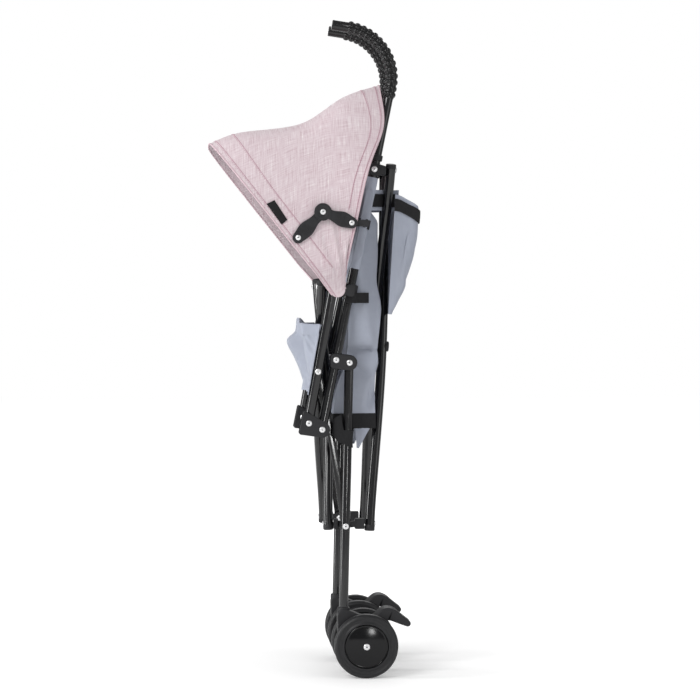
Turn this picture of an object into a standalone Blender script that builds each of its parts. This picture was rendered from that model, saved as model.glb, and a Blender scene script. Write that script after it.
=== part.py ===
# Lightweight umbrella stroller, folded and standing on its rear wheels, hood open.
# Frame: metres, +Z up, +X to the rear, left side at -Y, origin on the floor under the middle.
import math

import bmesh
import bpy
from mathutils import Matrix, Vector

MM = 0.001

# Where the frame stands
AXLE_X = 81.25                 # rear axle behind the middle of the folded stroller
WHEEL_R = 52.5                 # rear wheel, 105 mm
WHEEL_W = 21.0
WHEEL_PAIR = 70.0              # centre to centre of a rear pair
FRONT_R = 50.0                 # front castor wheel
FRONT_W = 20.0
FRONT_PAIR = 50.0
CASTOR_TRAIL = 33.0

# Tubes
TUBE_R = 8.0                   # push tubes, front legs, braces: 16 mm
LEG_R = 7.5                    # rear legs: 15 mm
BOW = 8.3                      # how far each crossing tube bows past the other
GRIP_R = 10.7
GRIP_TIP_R = 8.5
GRIP_TIP = 28.0                # smooth end of the grip, past the tube
HOOK_R = 82.7                  # bend of the handle
HOOK_TURN = 93.1
HOOK_START = 967.0
GRIP_START = 951.0
RIVET_R = 3.0
HEAD_R = 5.2
HEAD_T = 1.7
GAP = 0.3                      # running clearance
PLAY = 0.8                     # side play of a tube in its clevis
CHEEK = 3.3                    # wall of a clevis
LINK_T = 4.0                   # side link, flat bar
LINK_W = 12.4

# Pivots at rest in the side plane: distance behind the axle, height over the floor
LEG_PIVOT = (-25.4, 513.9)
KNUCKLE_PUSH = (-70.6, 405.0)
KNUCKLE_LEG = (-92.4, 415.3)
LINK_TOP = (-77.1, 499.5)
LINK_BEND = (-50.5, 372.0)
LEG_CROSS = (-31.4, 245.1)
PUSH_CROSS = (17.1, 831.1)
BRACE_TOP = (45.0, 831.1)
BRACE_LOW = (10.5, 247.0)
STAY_LOW = (-58.5, 247.0)
STAY_ALONG = 226.9             # stay rivet from the front leg's pivot
STAY_OFF = 17.0                # stay pin in front of that rivet
FRONT_LEN = 345.0              # front leg pivot to its wheel's height
SOCKET_LEN = 33.0
OPEN_PLAY = 1.5                # clearance of a brace at its open pivot

# Across the stroller
LEG_Y = 81.0
FRAME_Y = 88.3                 # push tube and front leg at the front knuckle
LEAN_Y = 0.0647                # push tubes draw together upwards
PIN_Y = 59.5
LINK_Y = 70.6

# Fabric
CLOTH = 2.0
HOOD_PIVOT = (-46.0, 634.0)
HOOD_LOBE = 13.0
HOOD_CLEAR = 10.7              # hood wall outside the folded front wheels
HOOD_W = FRAME_Y + FRONT_PAIR / 2 + FRONT_W / 2 + HOOD_CLEAR
HOOD_FOOT = HOOD_W - 30.0
HOOD_REAR_W = HOOD_W - 54.0
HOOD_TOP = ((-253.5, 861.0), (-203.5, 887.4), (-104.8, 906.5), (-33.8, 953.5), (21.9, 975.5))
ARM_FRONT = (-111.7, 717.2)    # hood arms: rivet at the hem, elbow, rivet at the clip
ARM_ELBOW = (-71.9, 758.7)
ARM_REAR = (-25.3, 741.3)
ARM_T = 3.2
ARM_W = 8.0                    # half width at an arm's ends
ARM_LEAF = 9.0                 # and where it is widest
ARM_NECK = 6.0
ARM_DISC = 13.0                # round cover over the elbow
SLEEVE_R = 9.5                 # cloth sleeve of the seat round the push tube
SLEEVE_Z = (632.0, 818.0)
SEAT_PLAY = 3.2                # seat cloth inside the sleeves
BASKET_W = 66.0

# Facets round each kind of round shape
TUBE_SIDES = 10
PIN_SIDES = 8
OUTLINE_STEPS = 10
REAR_SIDES = 24
FRONT_SIDES = 20

PLASTIC = ("black_plastic", "1B1B1D", 0.45, 0.0)
RUBBER = ("grip_rubber", "161617", 0.6, 0.0)
PAINT = ("black_paint", "141415", 0.3, 0.3)
TYRE = ("tyre", "1E1E1F", 0.75, 0.0)
GLOSS = ("hub_plastic", "0E0E10", 0.2, 0.0)
PINK = ("pink_cloth", "DCC9CE", 0.9, 0.0)
GREY = ("grey_cloth", "A4A9B5", 0.85, 0.0)
WEBBING = ("black_webbing", "1C1C1E", 0.8, 0.0)

for obj in list(bpy.data.objects):
    bpy.data.objects.remove(obj, do_unlink=True)
scene = bpy.context.scene
helpers = bpy.data.collections.new("cutters")
scene.collection.children.link(helpers)


def linear(text):
    channel = [int(text[i:i + 2], 16) / 255 for i in (0, 2, 4)]
    return [c / 12.92 if c <= 0.04045 else ((c + 0.055) / 1.055) ** 2.4 for c in channel] + [1.0]


def material(look):
    name, colour, roughness, metallic = look
    made = bpy.data.materials.get(name)
    if made is None:
        made = bpy.data.materials.new(name)
        made.use_nodes = True
        shader = made.node_tree.nodes["Principled BSDF"]
        shader.inputs["Base Color"].default_value = linear(colour)
        shader.inputs["Roughness"].default_value = roughness
        shader.inputs["Metallic"].default_value = metallic
        made.diffuse_color = linear(colour)
    return made


def at(xz, y):
    """A world point in metres, from millimetres behind the axle and over the floor."""
    return Vector(((xz[0] + AXLE_X) * MM, y * MM, xz[1] * MM))


def turned_xz(v, degrees):
    """A side-plane vector turned from up towards the rear."""
    c, s = math.cos(math.radians(degrees)), math.sin(math.radians(degrees))
    return (c * v[0] + s * v[1], c * v[1] - s * v[0])


def plus(a, b, k=1.0):
    return (a[0] + k * b[0], a[1] + k * b[1])


def unit(a, b):
    d = (b[0] - a[0], b[1] - a[1])
    n = math.hypot(*d)
    return (d[0] / n, d[1] / n)


# Building blocks: closed meshes in world metres

def mesh_from(verts, faces):
    bm = bmesh.new()
    made = [bm.verts.new(v) for v in verts]
    for face in faces:
        bm.faces.new([made[i] for i in face])
    bmesh.ops.recalc_face_normals(bm, faces=bm.faces)
    if bm.calc_volume(signed=True) < 0:
        bmesh.ops.reverse_faces(bm, faces=bm.faces)
    return bm


def swept(points, radii, sides):
    """A round bar along points, its rings carried without twist."""
    n = len(points)
    tangents = [(points[min(i + 1, n - 1)] - points[max(i - 1, 0)]).normalized() for i in range(n)]
    side = tangents[0].orthogonal().normalized()
    verts, faces = [], []
    for i in range(n):
        side = (side - tangents[i] * side.dot(tangents[i])).normalized()
        other = tangents[i].cross(side)
        for k in range(sides):
            a = 2 * math.pi * (k + 0.5) / sides
            verts.append(points[i] + (side * math.cos(a) + other * math.sin(a)) * radii[i] * MM)
    for i in range(n - 1):
        for k in range(sides):
            j = (k + 1) % sides
            faces.append((i * sides + k, i * sides + j, (i + 1) * sides + j, (i + 1) * sides + k))
    faces.append(tuple(range(sides)))
    faces.append(tuple((n - 1) * sides + k for k in range(sides)))
    return mesh_from(verts, faces)


def rod(p, q, radius, sides=TUBE_SIDES):
    return swept([p, q], [radius, radius], sides)


def turned(centre, axis, profile, sides):
    """A closed profile of (along, radius) turned round an axis; radius 0 closes to a point."""
    axis = axis.normalized()
    side = axis.orthogonal().normalized()
    other = axis.cross(side)
    verts, rings = [], []
    for along, radius in profile:
        base = centre + axis * along * MM
        if radius == 0:
            rings.append([len(verts)] * sides)
            verts.append(base)
        else:
            rings.append(list(range(len(verts), len(verts) + sides)))
            for k in range(sides):
                a = 2 * math.pi * k / sides
                verts.append(base + (side * math.cos(a) + other * math.sin(a)) * radius * MM)
    faces = []
    closed = profile[0][1] > 0 or profile[-1][1] > 0
    last = len(rings) if closed else len(rings) - 1
    for i in range(last):
        a, b = rings[i], rings[(i + 1) % len(rings)]
        for k in range(sides):
            j = (k + 1) % sides
            face = []
            for v in (a[k], a[j], b[j], b[k]):
                if v not in face:
                    face.append(v)
            if len(face) > 2:
                faces.append(face)
    return mesh_from(verts, faces)


def hull(circles, steps=OUTLINE_STEPS):
    """The outline round a few circles (x, z, radius), as a band would lie round pulleys."""
    points = []
    for x, z, r in circles:
        for k in range(steps):
            a = 2 * math.pi * k / steps
            points.append((x + r * math.cos(a), z + r * math.sin(a)))
    points.sort()

    def half(run):
        chain = []
        for p in run:
            while len(chain) > 1 and ((chain[-1][0] - chain[-2][0]) * (p[1] - chain[-2][1])
                                      - (chain[-1][1] - chain[-2][1]) * (p[0] - chain[-2][0])) <= 1e-6:
                chain.pop()
            chain.append(p)
        return chain[:-1]

    return half(points) + half(points[::-1])


def strap(points, widths, ends=6):
    """The outline of a flat bar along points with round ends."""
    left, right = [], []
    n = len(points)
    for i in range(n):
        t = unit(points[max(i - 1, 0)], points[min(i + 1, n - 1)])
        left.append(plus(points[i], (-t[1], t[0]), widths[i]))
        right.append(plus(points[i], (t[1], -t[0]), widths[i]))

    def cap(centre, t, r):
        out = []
        for k in range(1, ends):
            a = math.pi * k / ends
            out.append((centre[0] + r * (-t[1] * math.cos(a) + t[0] * math.sin(a)),
                        centre[1] + r * (t[0] * math.cos(a) + t[1] * math.sin(a))))
        return out

    t1 = unit(points[-2], points[-1])
    t0 = unit(points[1], points[0])
    return left + cap(points[-1], t1, widths[-1]) + right[::-1] + cap(points[0], t0, widths[0])


def prism(outline, y0, y1, rim=0.0):
    """An outline in the side plane, carried across from y0 to y1, its rims chamfered."""
    y0, y1 = sorted((y0, y1))
    n = len(outline)
    verts = [at(p, y0) for p in outline] + [at(p, y1) for p in outline]
    faces = [tuple(range(n)), tuple(range(n, 2 * n))]
    faces += [(k, (k + 1) % n, n + (k + 1) % n, n + k) for k in range(n)]
    bm = mesh_from(verts, faces)
    if rim:
        edges = [e for e in bm.edges if abs(e.verts[0].co.y - e.verts[1].co.y) < 1e-9]
        bmesh.ops.bevel(bm, geom=edges, offset=rim * MM, segments=1, affect="EDGES",
                        clamp_overlap=True)
    return bm


bodies = {}


def body(name, pivot):
    """An empty on the joint's axis, which carries the pieces that move together."""
    empty = bpy.data.objects.new("body_" + name, None)
    empty.empty_display_size = 0.02
    empty.location = pivot
    scene.collection.objects.link(empty)
    bodies[name] = empty
    return empty


def piece(name, bm, look, owner, add=(), cut=()):
    """One named solid on its body: a mesh, joined with some shapes and cut by others."""
    mesh = bpy.data.meshes.new(name)
    pivot = bodies[owner].location
    bm.transform(Matrix.Translation(-pivot))
    bm.to_mesh(mesh)
    bm.free()
    mesh.materials.append(material(look))
    mesh.shade_smooth()
    mesh.set_sharp_from_angle(angle=math.radians(35))
    obj = bpy.data.objects.new(name, mesh)
    scene.collection.objects.link(obj)
    obj.parent = bodies[owner]
    for operation, shapes in (("UNION", add), ("DIFFERENCE", cut)):
        for k, shape in enumerate(shapes):
            tool_mesh = bpy.data.meshes.new(f"{name}_{operation.lower()}_{k}")
            shape.to_mesh(tool_mesh)
            shape.free()
            tool = bpy.data.objects.new(tool_mesh.name, tool_mesh)
            helpers.objects.link(tool)
            tool.hide_render = True
            tool.display_type = "WIRE"
            modifier = obj.modifiers.new(tool_mesh.name, "BOOLEAN")
            modifier.operation = operation
            modifier.solver = "EXACT"
            modifier.object = tool
    return obj


def cross_pin(xz, y0, y1, head=True, radius=RIVET_R):
    """A rivet across the stroller from y0 to y1 with a low head past each end."""
    y0, y1 = sorted((y0, y1))
    if not head:
        profile = [(y0, 0), (y0, radius), (y1, radius), (y1, 0)]
        return turned(at(xz, 0), Vector((0, 1, 0)), profile, PIN_SIDES)
    low, high = y0 - GAP, y1 + GAP
    profile = [(low - HEAD_T, 0), (low, HEAD_R), (low, radius),
               (high, radius), (high, HEAD_R), (high + HEAD_T, 0)]
    return turned(at(xz, 0), Vector((0, 1, 0)), profile, PIN_SIDES)


def bore(xz, y0, y1, radius=RIVET_R + GAP):
    y0, y1 = sorted((y0, y1))
    profile = [(y0, 0), (y0, radius), (y1, radius), (y1, 0)]
    return turned(at(xz, 0), Vector((0, 1, 0)), profile, PIN_SIDES)


# Lines that several pieces share
PUSH_DIR = unit(KNUCKLE_PUSH, PUSH_CROSS)
LEG_DIR = unit(LEG_CROSS, LEG_PIVOT)
FRONT_DIR = unit(KNUCKLE_LEG, LINK_TOP)
FRONT_NORMAL = (-FRONT_DIR[1], FRONT_DIR[0])
STAY_RIVET = plus(KNUCKLE_LEG, FRONT_DIR, STAY_ALONG)
STAY_TOP = (STAY_RIVET[0] - STAY_OFF, STAY_RIVET[1])
AXLE = (0.0, WHEEL_R)
FRONT_AXLE = plus(plus(KNUCKLE_LEG, FRONT_DIR, FRONT_LEN), FRONT_NORMAL, CASTOR_TRAIL)


def push_x(z):
    return KNUCKLE_PUSH[0] + (z - KNUCKLE_PUSH[1]) * PUSH_DIR[0] / PUSH_DIR[1]


def push_y(z):
    return FRAME_Y - LEAN_Y * (z - KNUCKLE_PUSH[1])


def leg_x(z):
    return LEG_PIVOT[0] + (z - LEG_PIVOT[1]) * LEG_DIR[0] / LEG_DIR[1]


def on_push(z, side):
    return at((push_x(z), z), side * push_y(z))


def handle_path(side, start, tail):
    """The push tube's centre line from a height up, through the hook, and tail past it."""
    lean = math.degrees(math.atan2(PUSH_DIR[0], PUSH_DIR[1]))
    line = [(push_x(start), start)]
    if start < HOOK_START - 20:
        line.append((push_x(HOOK_START - 14), HOOK_START - 14))
    base = (push_x(HOOK_START), HOOK_START)
    centre = plus(base, (-PUSH_DIR[1], PUSH_DIR[0]), HOOK_R)
    steps = 8
    for k in range(steps + 1):
        out = turned_xz((PUSH_DIR[1], -PUSH_DIR[0]), -HOOK_TURN * k / steps)
        line.append(plus(centre, out, HOOK_R))
    end = turned_xz((0, 1), lean - HOOK_TURN)
    if tail:
        line.append(plus(line[-1], end, tail))
    return [at(p, side * push_y(p[1])) for p in line]


def bowed(a, b, way, over_a, over_b, name_radius=TUBE_R):
    """A tube from pin a to pin b, in world metres, bowed along way at its middle."""
    axis = (b - a).normalized()
    length = (b - a).length
    points, radii = [], []

    def add(p, r):
        points.append(p)
        radii.append(r)

    add(a - axis * over_a * MM, name_radius - 1.2)
    add(a - axis * (over_a - 1.2) * MM, name_radius)
    steps = 8
    for k in range(1, steps):
        t = k / steps
        add(a.lerp(b, t) + way * BOW * MM * math.sin(math.pi * t) ** 1.5, name_radius)
    add(b + axis * (over_b - 1.2) * MM, name_radius)
    add(b + axis * over_b * MM, name_radius - 1.2)
    return swept(points, radii, TUBE_SIDES), axis, length


def foot(rivet, reach, y_ring, y_block, toward):
    """A plastic foot on a cross rivet: a ring, a narrow neck and the block that holds a pin."""
    sign = 1 if toward > 0 else -1
    near, far = reach
    z = rivet[1] + 1.9
    ring = prism(hull([(rivet[0], rivet[1], 9.0)]), *y_ring)
    neck = prism(hull([(rivet[0], rivet[1], 5.0), (rivet[0] + sign * (near + 1), z, 5.0)], 8), *y_ring)
    block = prism(hull([(rivet[0] + sign * (near + 1.5), z - 7, 1.5), (rivet[0] + sign * (near + 1.5), z + 7, 1.5),
                        (rivet[0] + sign * (far - 1.5), z - 7, 1.5), (rivet[0] + sign * (far - 1.5), z + 7, 1.5)],
                       8), *y_block)
    return ring, [neck, block]


body("left_frame", at(KNUCKLE_PUSH, -FRAME_Y))
body("right_frame", at(KNUCKLE_PUSH, FRAME_Y))

BRACE_UP = unit(BRACE_LOW, BRACE_TOP)
BRACE_NORMAL = Vector((BRACE_UP[1], 0, -BRACE_UP[0]))
STAY_UP = unit(STAY_LOW, STAY_TOP)
STAY_NORMAL = Vector((STAY_UP[1], 0, -STAY_UP[0]))

for name, side in (("left", -1), ("right", 1)):
    frame = name + "_frame"
    leg_y = side * LEG_Y
    frame_y = side * FRAME_Y
    clevis = TUBE_R + PLAY + CHEEK

    # Push tube with its rivets, collar and hook
    path = handle_path(side, KNUCKLE_PUSH[1] - 6.0, 0)
    tube = swept(path, [TUBE_R] * len(path), TUBE_SIDES)
    collar = swept([on_push(PUSH_CROSS[1] + 14.5, side), on_push(PUSH_CROSS[1] + 22, side)],
                   [TUBE_R + 1.8] * 2, TUBE_SIDES)
    rivets = [cross_pin((push_x(LEG_PIVOT[1] + 4.5), LEG_PIVOT[1] + 4.5), leg_y - clevis, leg_y + clevis),
              cross_pin(KNUCKLE_PUSH, frame_y - clevis, frame_y + clevis),
              cross_pin(PUSH_CROSS, side * push_y(PUSH_CROSS[1]) - clevis,
                        side * push_y(PUSH_CROSS[1]) + clevis)]
    piece(name + "_push_tube", tube, PAINT, frame, add=[collar] + rivets)

    # Grip: a rubber sleeve over the hook with a smooth solid tip
    outer = handle_path(side, GRIP_START, GRIP_TIP)
    radii = [GRIP_R] * (len(outer) - 1) + [GRIP_TIP_R]
    outer.insert(-1, outer[-2].lerp(outer[-1], 0.08))
    radii.insert(-1, GRIP_TIP_R)
    last = outer[-1]
    outer.append(last + (last - outer[-2]).normalized() * 1.0 * MM)
    radii.append(GRIP_TIP_R - 1.0)
    inner = handle_path(side, GRIP_START - 4, 1.0)
    piece(name + "_grip", swept(outer, radii, TUBE_SIDES), RUBBER, frame,
          cut=[swept(inner, [TUBE_R + GAP] * len(inner), TUBE_SIDES)])

    # Bracket that carries the rear leg's top pivot
    px = push_x(LEG_PIVOT[1])
    outline = hull([(px - 1.5, LEG_PIVOT[1] + 8, 7.0), (px - 2.5, LEG_PIVOT[1] - 3.5, 6.0),
                    (LEG_PIVOT[0], LEG_PIVOT[1], 12.8)])
    slot = [hull([(*LEG_PIVOT, LEG_R + 1.6), (*plus(LEG_PIVOT, turned_xz((0, -1), a), 45), LEG_R + 1.6)])
            for a in (math.degrees(math.atan2(LEG_DIR[0], LEG_DIR[1])), -24.0, -50.0)]
    piece(name + "_leg_bracket", prism(outline, leg_y - clevis, leg_y + clevis, 0.8), PLASTIC, frame,
          cut=[rod(on_push(LEG_PIVOT[1] - 45, side), on_push(LEG_PIVOT[1] + 45, side), TUBE_R + GAP),
               bore(LEG_PIVOT, leg_y - 20, leg_y + 20),
               bore((push_x(LEG_PIVOT[1] + 4.5), LEG_PIVOT[1] + 4.5), leg_y - 20, leg_y + 20)]
          + [prism(o, leg_y - LEG_R - PLAY, leg_y + LEG_R + PLAY) for o in slot])

    # Front knuckle: socket for the push tube's end, clevis for the front leg
    k, f = KNUCKLE_PUSH, KNUCKLE_LEG
    outline = hull([(f[0] - 6.5, f[1] + 17, 3.0), (f[0] - 12.5, f[1] - 15, 3.5), (k[0], k[1], 13.0),
                    (k[0] + 1.5, k[1] - 10, 3.0)])
    front = hull([(*f, TUBE_R + 0.9)] + [(*plus(f, turned_xz((0, 1), -a), 60), TUBE_R + 0.9)
                                         for a in (0, 45, 90, 135, 180)])
    up = hull([(*f, TUBE_R + 0.9), (*plus(f, FRONT_DIR, 60), TUBE_R + 0.9)])
    down = hull([(*f, TUBE_R + 0.9), (*plus(f, turned_xz((0, 1), -187.3), 60), TUBE_R + 0.9)])
    piece(name + "_front_knuckle", prism(outline, frame_y - clevis, frame_y + clevis, 0.8), PLASTIC, frame,
          cut=[rod(on_push(k[1] - 6.5, side), on_push(k[1] + 60, side), TUBE_R + GAP),
               bore(k, frame_y - 20, frame_y + 20), bore(f, frame_y - 20, frame_y + 20)]
          + [prism(o, frame_y - TUBE_R - PLAY, frame_y + TUBE_R + PLAY) for o in (front, up, down)])

    # Rear leg with its two rivets; the lower one carries the link and both feet
    body(name + "_rear_leg", at(LEG_PIVOT, leg_y))
    top = plus(LEG_PIVOT, LEG_DIR, 7.2)
    line = [top, plus(top, LEG_DIR, -1.6), plus(top, LEG_DIR, -5.0), (leg_x(74), 74)]
    lower = cross_pin(LEG_CROSS, leg_y - side * (-LEG_R - 0.3), side * (PIN_Y - 9.0))
    piece(name + "_rear_leg", swept([at(p, leg_y) for p in line], [4.2, 6.4, LEG_R, LEG_R], TUBE_SIDES), PAINT,
          name + "_rear_leg",
          add=[cross_pin(LEG_PIVOT, leg_y - clevis, leg_y + clevis), lower])

    # Wheel housing with its axle
    ear = (10.0, 84.0)
    outline = hull([(leg_x(100) + 1, 98, 11.5), (leg_x(72) + 1, 72, 10.5), (*AXLE, 13.0), (*ear, 8.0)])
    axle_out = WHEEL_PAIR / 2 + WHEEL_W / 2 + 2.6
    shaft = turned(at(AXLE, leg_y), Vector((0, 1, 0)),
                   [(-axle_out - 1.6, 0), (-axle_out - 1.6, 4.0), (-axle_out, 5.4), (-axle_out, 4.0),
                    (-23, 4.0), (-23, 9.0), (23, 9.0), (23, 4.0), (axle_out, 4.0), (axle_out, 5.4),
                    (axle_out + 1.6, 4.0), (axle_out + 1.6, 0)], PIN_SIDES)
    ear_w = 12.0
    piece(name + "_rear_housing", prism(outline, leg_y - ear_w, leg_y + ear_w, 1.2), PLASTIC,
          name + "_rear_leg",
          add=[shaft, swept([at((leg_x(66), 66), leg_y), at((leg_x(112), 112), leg_y)], [11.0, 11.0], TUBE_SIDES)],
          cut=[rod(at((leg_x(73), 73), leg_y), at((leg_x(150), 150), leg_y), LEG_R + GAP),
               bore(ear, leg_y - 20, leg_y + 20)])

    # Brake pedal: a lever between the two wheels, forked round the housing's ear
    body(name + "_brake_pedal", at(ear, leg_y))
    lever = strap([ear, (22, 93), (34, 101), (44, 100), (58, 92), (70, 85.5)], [7.5, 8.5, 10.5, 10.0, 7.2, 5.2])
    piece(name + "_brake_pedal", prism(lever, leg_y - 18, leg_y + 18, 1.0), PLASTIC, name + "_brake_pedal",
          cut=[prism(hull([(*ear, 9.5), (ear[0] - 6, ear[1] + 10, 9.0), (ear[0] - 18, ear[1] - 12, 12)]),
                     leg_y - ear_w - 0.6, leg_y + ear_w + 0.6)],
          add=[cross_pin(ear, leg_y - 16, leg_y + 16, head=False)])

    # Rear wheels: tyre and hub turned on the axle
    for place, offset in (("outer", 1), ("inner", -1)):
        wheel = f"{name}_{place}_rear_wheel"
        centre = at(AXLE, leg_y + side * offset * WHEEL_PAIR / 2)
        body(wheel, centre)
        half = WHEEL_W / 2
        seat = 36.0
        tread = [(-half, seat), (-half + 0.6, WHEEL_R - 6), (-half + 4.5, WHEEL_R),
                 (half - 4.5, WHEEL_R), (half - 0.6, WHEEL_R - 6), (half, seat)]
        tyre = turned(centre, Vector((0, 1, 0)), tread, REAR_SIDES)
        piece(f"{name}_{place}_rear_tyre", tyre, TYRE, wheel)
        out = side * offset
        rim = seat - GAP
        boss = (WHEEL_PAIR / 2 - 23 - GAP)
        hub = [(-out * (half - 1.2), 4.0 + GAP), (-out * (half - 1.2), rim), (out * (half - 0.8), rim),
               (out * (half + 1.0), 22.0), (out * (half + 2.0), 4.0 + GAP)]
        cap = turned(centre, Vector((0, 1, 0)), hub, REAR_SIDES)
        piece(f"{name}_{place}_rear_hub", cap, GLOSS, wheel)

    # Front leg, folded up beside the push tube, with its castor socket
    body(name + "_front_leg", at(KNUCKLE_LEG, frame_y))
    low = plus(KNUCKLE_LEG, FRONT_DIR, -7.4)
    high = FRONT_LEN - 24.0
    line = [low, plus(low, FRONT_DIR, 1.6), plus(low, FRONT_DIR, 5.0), plus(KNUCKLE_LEG, FRONT_DIR, high - 12)]
    socket = [plus(KNUCKLE_LEG, FRONT_DIR, high - SOCKET_LEN), plus(KNUCKLE_LEG, FRONT_DIR, high - SOCKET_LEN + 3),
              plus(KNUCKLE_LEG, FRONT_DIR, high)]
    top_pin = cross_pin(LINK_TOP, side * (LINK_Y + LINK_T / 2 + 0.4 + 1.7), frame_y + side * (TUBE_R + GAP))
    stay_pin = cross_pin(STAY_RIVET, side * (PIN_Y - 8.0), frame_y + side * (TUBE_R + GAP))
    piece(name + "_front_leg", swept([at(p, frame_y) for p in line], [4.6, 7.0, TUBE_R, TUBE_R], TUBE_SIDES), PAINT,
          name + "_front_leg",
          add=[cross_pin(KNUCKLE_LEG, frame_y - clevis, frame_y + clevis), top_pin, stay_pin,
               swept([at(p, frame_y) for p in socket], [10.5, 12.5, 12.5], TUBE_SIDES)],
          cut=[rod(at(plus(KNUCKLE_LEG, FRONT_DIR, high - 24), frame_y),
                   at(plus(KNUCKLE_LEG, FRONT_DIR, high + 8), frame_y), 5.0 + GAP)])

    # Castor fork: stem, head and the arm that trails to the axle
    body(name + "_castor", at(plus(KNUCKLE_LEG, FRONT_DIR, high), frame_y))
    stem = [plus(KNUCKLE_LEG, FRONT_DIR, high - 22), plus(KNUCKLE_LEG, FRONT_DIR, high + 6)]
    arm = hull([(*plus(KNUCKLE_LEG, FRONT_DIR, high + 8.5), 7.4), (*FRONT_AXLE, 10.5)])
    head = [plus(KNUCKLE_LEG, FRONT_DIR, high + 0.5), plus(KNUCKLE_LEG, FRONT_DIR, high + 10),
            plus(KNUCKLE_LEG, FRONT_DIR, high + 13)]
    half_axle = FRONT_PAIR / 2 + FRONT_W / 2 + 0.4
    inner_gap = FRONT_PAIR / 2 - FRONT_W / 2 - 0.5
    pin = turned(at(FRONT_AXLE, frame_y), Vector((0, 1, 0)),
                 [(-half_axle - 1.4, 0), (-half_axle - 1.4, 3.8), (-half_axle, 5.0), (-half_axle, 4.0),
                  (-inner_gap, 4.0), (-inner_gap, 8.0), (inner_gap, 8.0), (inner_gap, 4.0), (half_axle, 4.0),
                  (half_axle, 5.0), (half_axle + 1.4, 3.8), (half_axle + 1.4, 0)], PIN_SIDES)
    piece(name + "_castor_fork", prism(arm, frame_y - 10, frame_y + 10, 1.0), PLASTIC, name + "_castor",
          add=[swept([at(p, frame_y) for p in head], [13.0, 13.0, 10.0], TUBE_SIDES),
               rod(at(stem[0], frame_y), at(stem[1], frame_y), 5.0, PIN_SIDES), pin])
    for place, offset in (("outer", 1), ("inner", -1)):
        wheel = f"{name}_{place}_front_wheel"
        centre = at(FRONT_AXLE, frame_y + side * offset * FRONT_PAIR / 2)
        body(wheel, centre)
        half = FRONT_W / 2
        out = side * offset
        disc = [(-out * half, 4.0 + GAP), (-out * half, 35.0), (-out * (half - 3.5), FRONT_R - 0.4),
                (out * (half - 3.5), FRONT_R - 0.4), (out * half, 35.0), (out * half, 4.0 + GAP)]
        piece(wheel, turned(centre, Vector((0, 1, 0)), disc, FRONT_SIDES), TYRE, wheel)

    # Side link: a flat bar with one gentle bend, from the front leg to the rear leg
    body(name + "_side_link", at(LEG_CROSS, side * LINK_Y))
    bar = strap([LEG_CROSS, LINK_BEND, LINK_TOP], [LINK_W / 2 + 0.3, LINK_W / 2 - 0.4, LINK_W / 2 + 0.3], 5)
    piece(name + "_side_link", prism(bar, side * (LINK_Y - LINK_T / 2), side * (LINK_Y + LINK_T / 2), 0.5),
          PAINT, name + "_side_link",
          cut=[bore(LEG_CROSS, side * (LINK_Y - 10), side * (LINK_Y + 10))])

    # Brace head: clevis on the push tube, its block behind for the brace's pin
    body(name + "_brace_head", at(PUSH_CROSS, side * push_y(PUSH_CROSS[1])))
    t = PUSH_CROSS
    ty = side * push_y(t[1])
    face = BRACE_TOP[0] - TUBE_R - 0.9
    outline = hull([(*t, 10.4), (face - 2, t[1] - 7.5, 2.0), (face - 2, t[1] + 3.6, 2.0)])
    sweep = [hull([(*plus(t, turned_xz(PUSH_DIR, a), -40), TUBE_R + 0.5),
                   (*plus(t, turned_xz(PUSH_DIR, a), 40), TUBE_R + 0.5)]) for a in (0, 8, 16, 23)]
    piece(name + "_brace_head", prism(outline, ty - clevis, ty + clevis, 0.8), PLASTIC, name + "_brace_head",
          cut=[prism(o, ty - TUBE_R - PLAY, ty + TUBE_R + PLAY) for o in sweep]
          + [bore(t, ty - 20, ty + 20),
             rod(at(BRACE_TOP, side * PIN_Y) - BRACE_NORMAL * 21 * MM, at(BRACE_TOP, side * PIN_Y),
                 RIVET_R + GAP + 0.1, PIN_SIDES)])

    # Feet on the rear leg's lower rivet: one for the brace behind, one for the stay in front
    block_y = (side * (PIN_Y - 7.5), side * (PIN_Y + 8.5))
    body(name + "_brace_foot", at(LEG_CROSS, side * PIN_Y))
    reach = BRACE_LOW[0] - TUBE_R - OPEN_PLAY - LEG_CROSS[0]
    base, more = foot(LEG_CROSS, (17.0, reach), (side * (PIN_Y + 1.5), side * (PIN_Y + 8.5)), block_y, 1)
    piece(name + "_brace_foot", base, PLASTIC, name + "_brace_foot", add=more,
          cut=[bore(LEG_CROSS, side * 40, side * 90)])
    body(name + "_stay_foot", at(LEG_CROSS, side * PIN_Y))
    reach = LEG_CROSS[0] - STAY_LOW[0] - TUBE_R - 1.1
    base, more = foot(LEG_CROSS, (11.0, reach), (side * (PIN_Y - 7.5), side * (PIN_Y + 0.9)), block_y, -1)
    piece(name + "_stay_foot", base, PLASTIC, name + "_stay_foot", add=more,
          cut=[bore(LEG_CROSS, side * 40, side * 90),
               rod(at(STAY_LOW, side * PIN_Y), at(STAY_LOW, side * PIN_Y) + STAY_NORMAL * 18 * MM,
                   RIVET_R + GAP, PIN_SIDES)])

    # Stay head: a long boss on the front leg's inner rivet, flattened towards the stay
    body(name + "_stay_head", at(STAY_RIVET, side * PIN_Y))
    s = STAY_RIVET
    flat = STAY_TOP[0] + TUBE_R + OPEN_PLAY
    boss = prism(hull([(*s, 6.6)]), side * (PIN_Y - 7.0), side * (FRAME_Y - TUBE_R - 0.5))
    pad = prism(hull([(flat + 1.5, s[1] - 7, 1.5), (flat + 1.5, s[1] + 7, 1.5), (s[0] - 2, s[1] - 5, 1.5),
                      (s[0] - 2, s[1] + 5, 1.5)], 8), side * (PIN_Y - 7.0), side * (PIN_Y + 7.5))
    piece(name + "_stay_head", boss, PLASTIC, name + "_stay_head", add=[pad],
          cut=[bore(s, side * 40, side * 90)])

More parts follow.
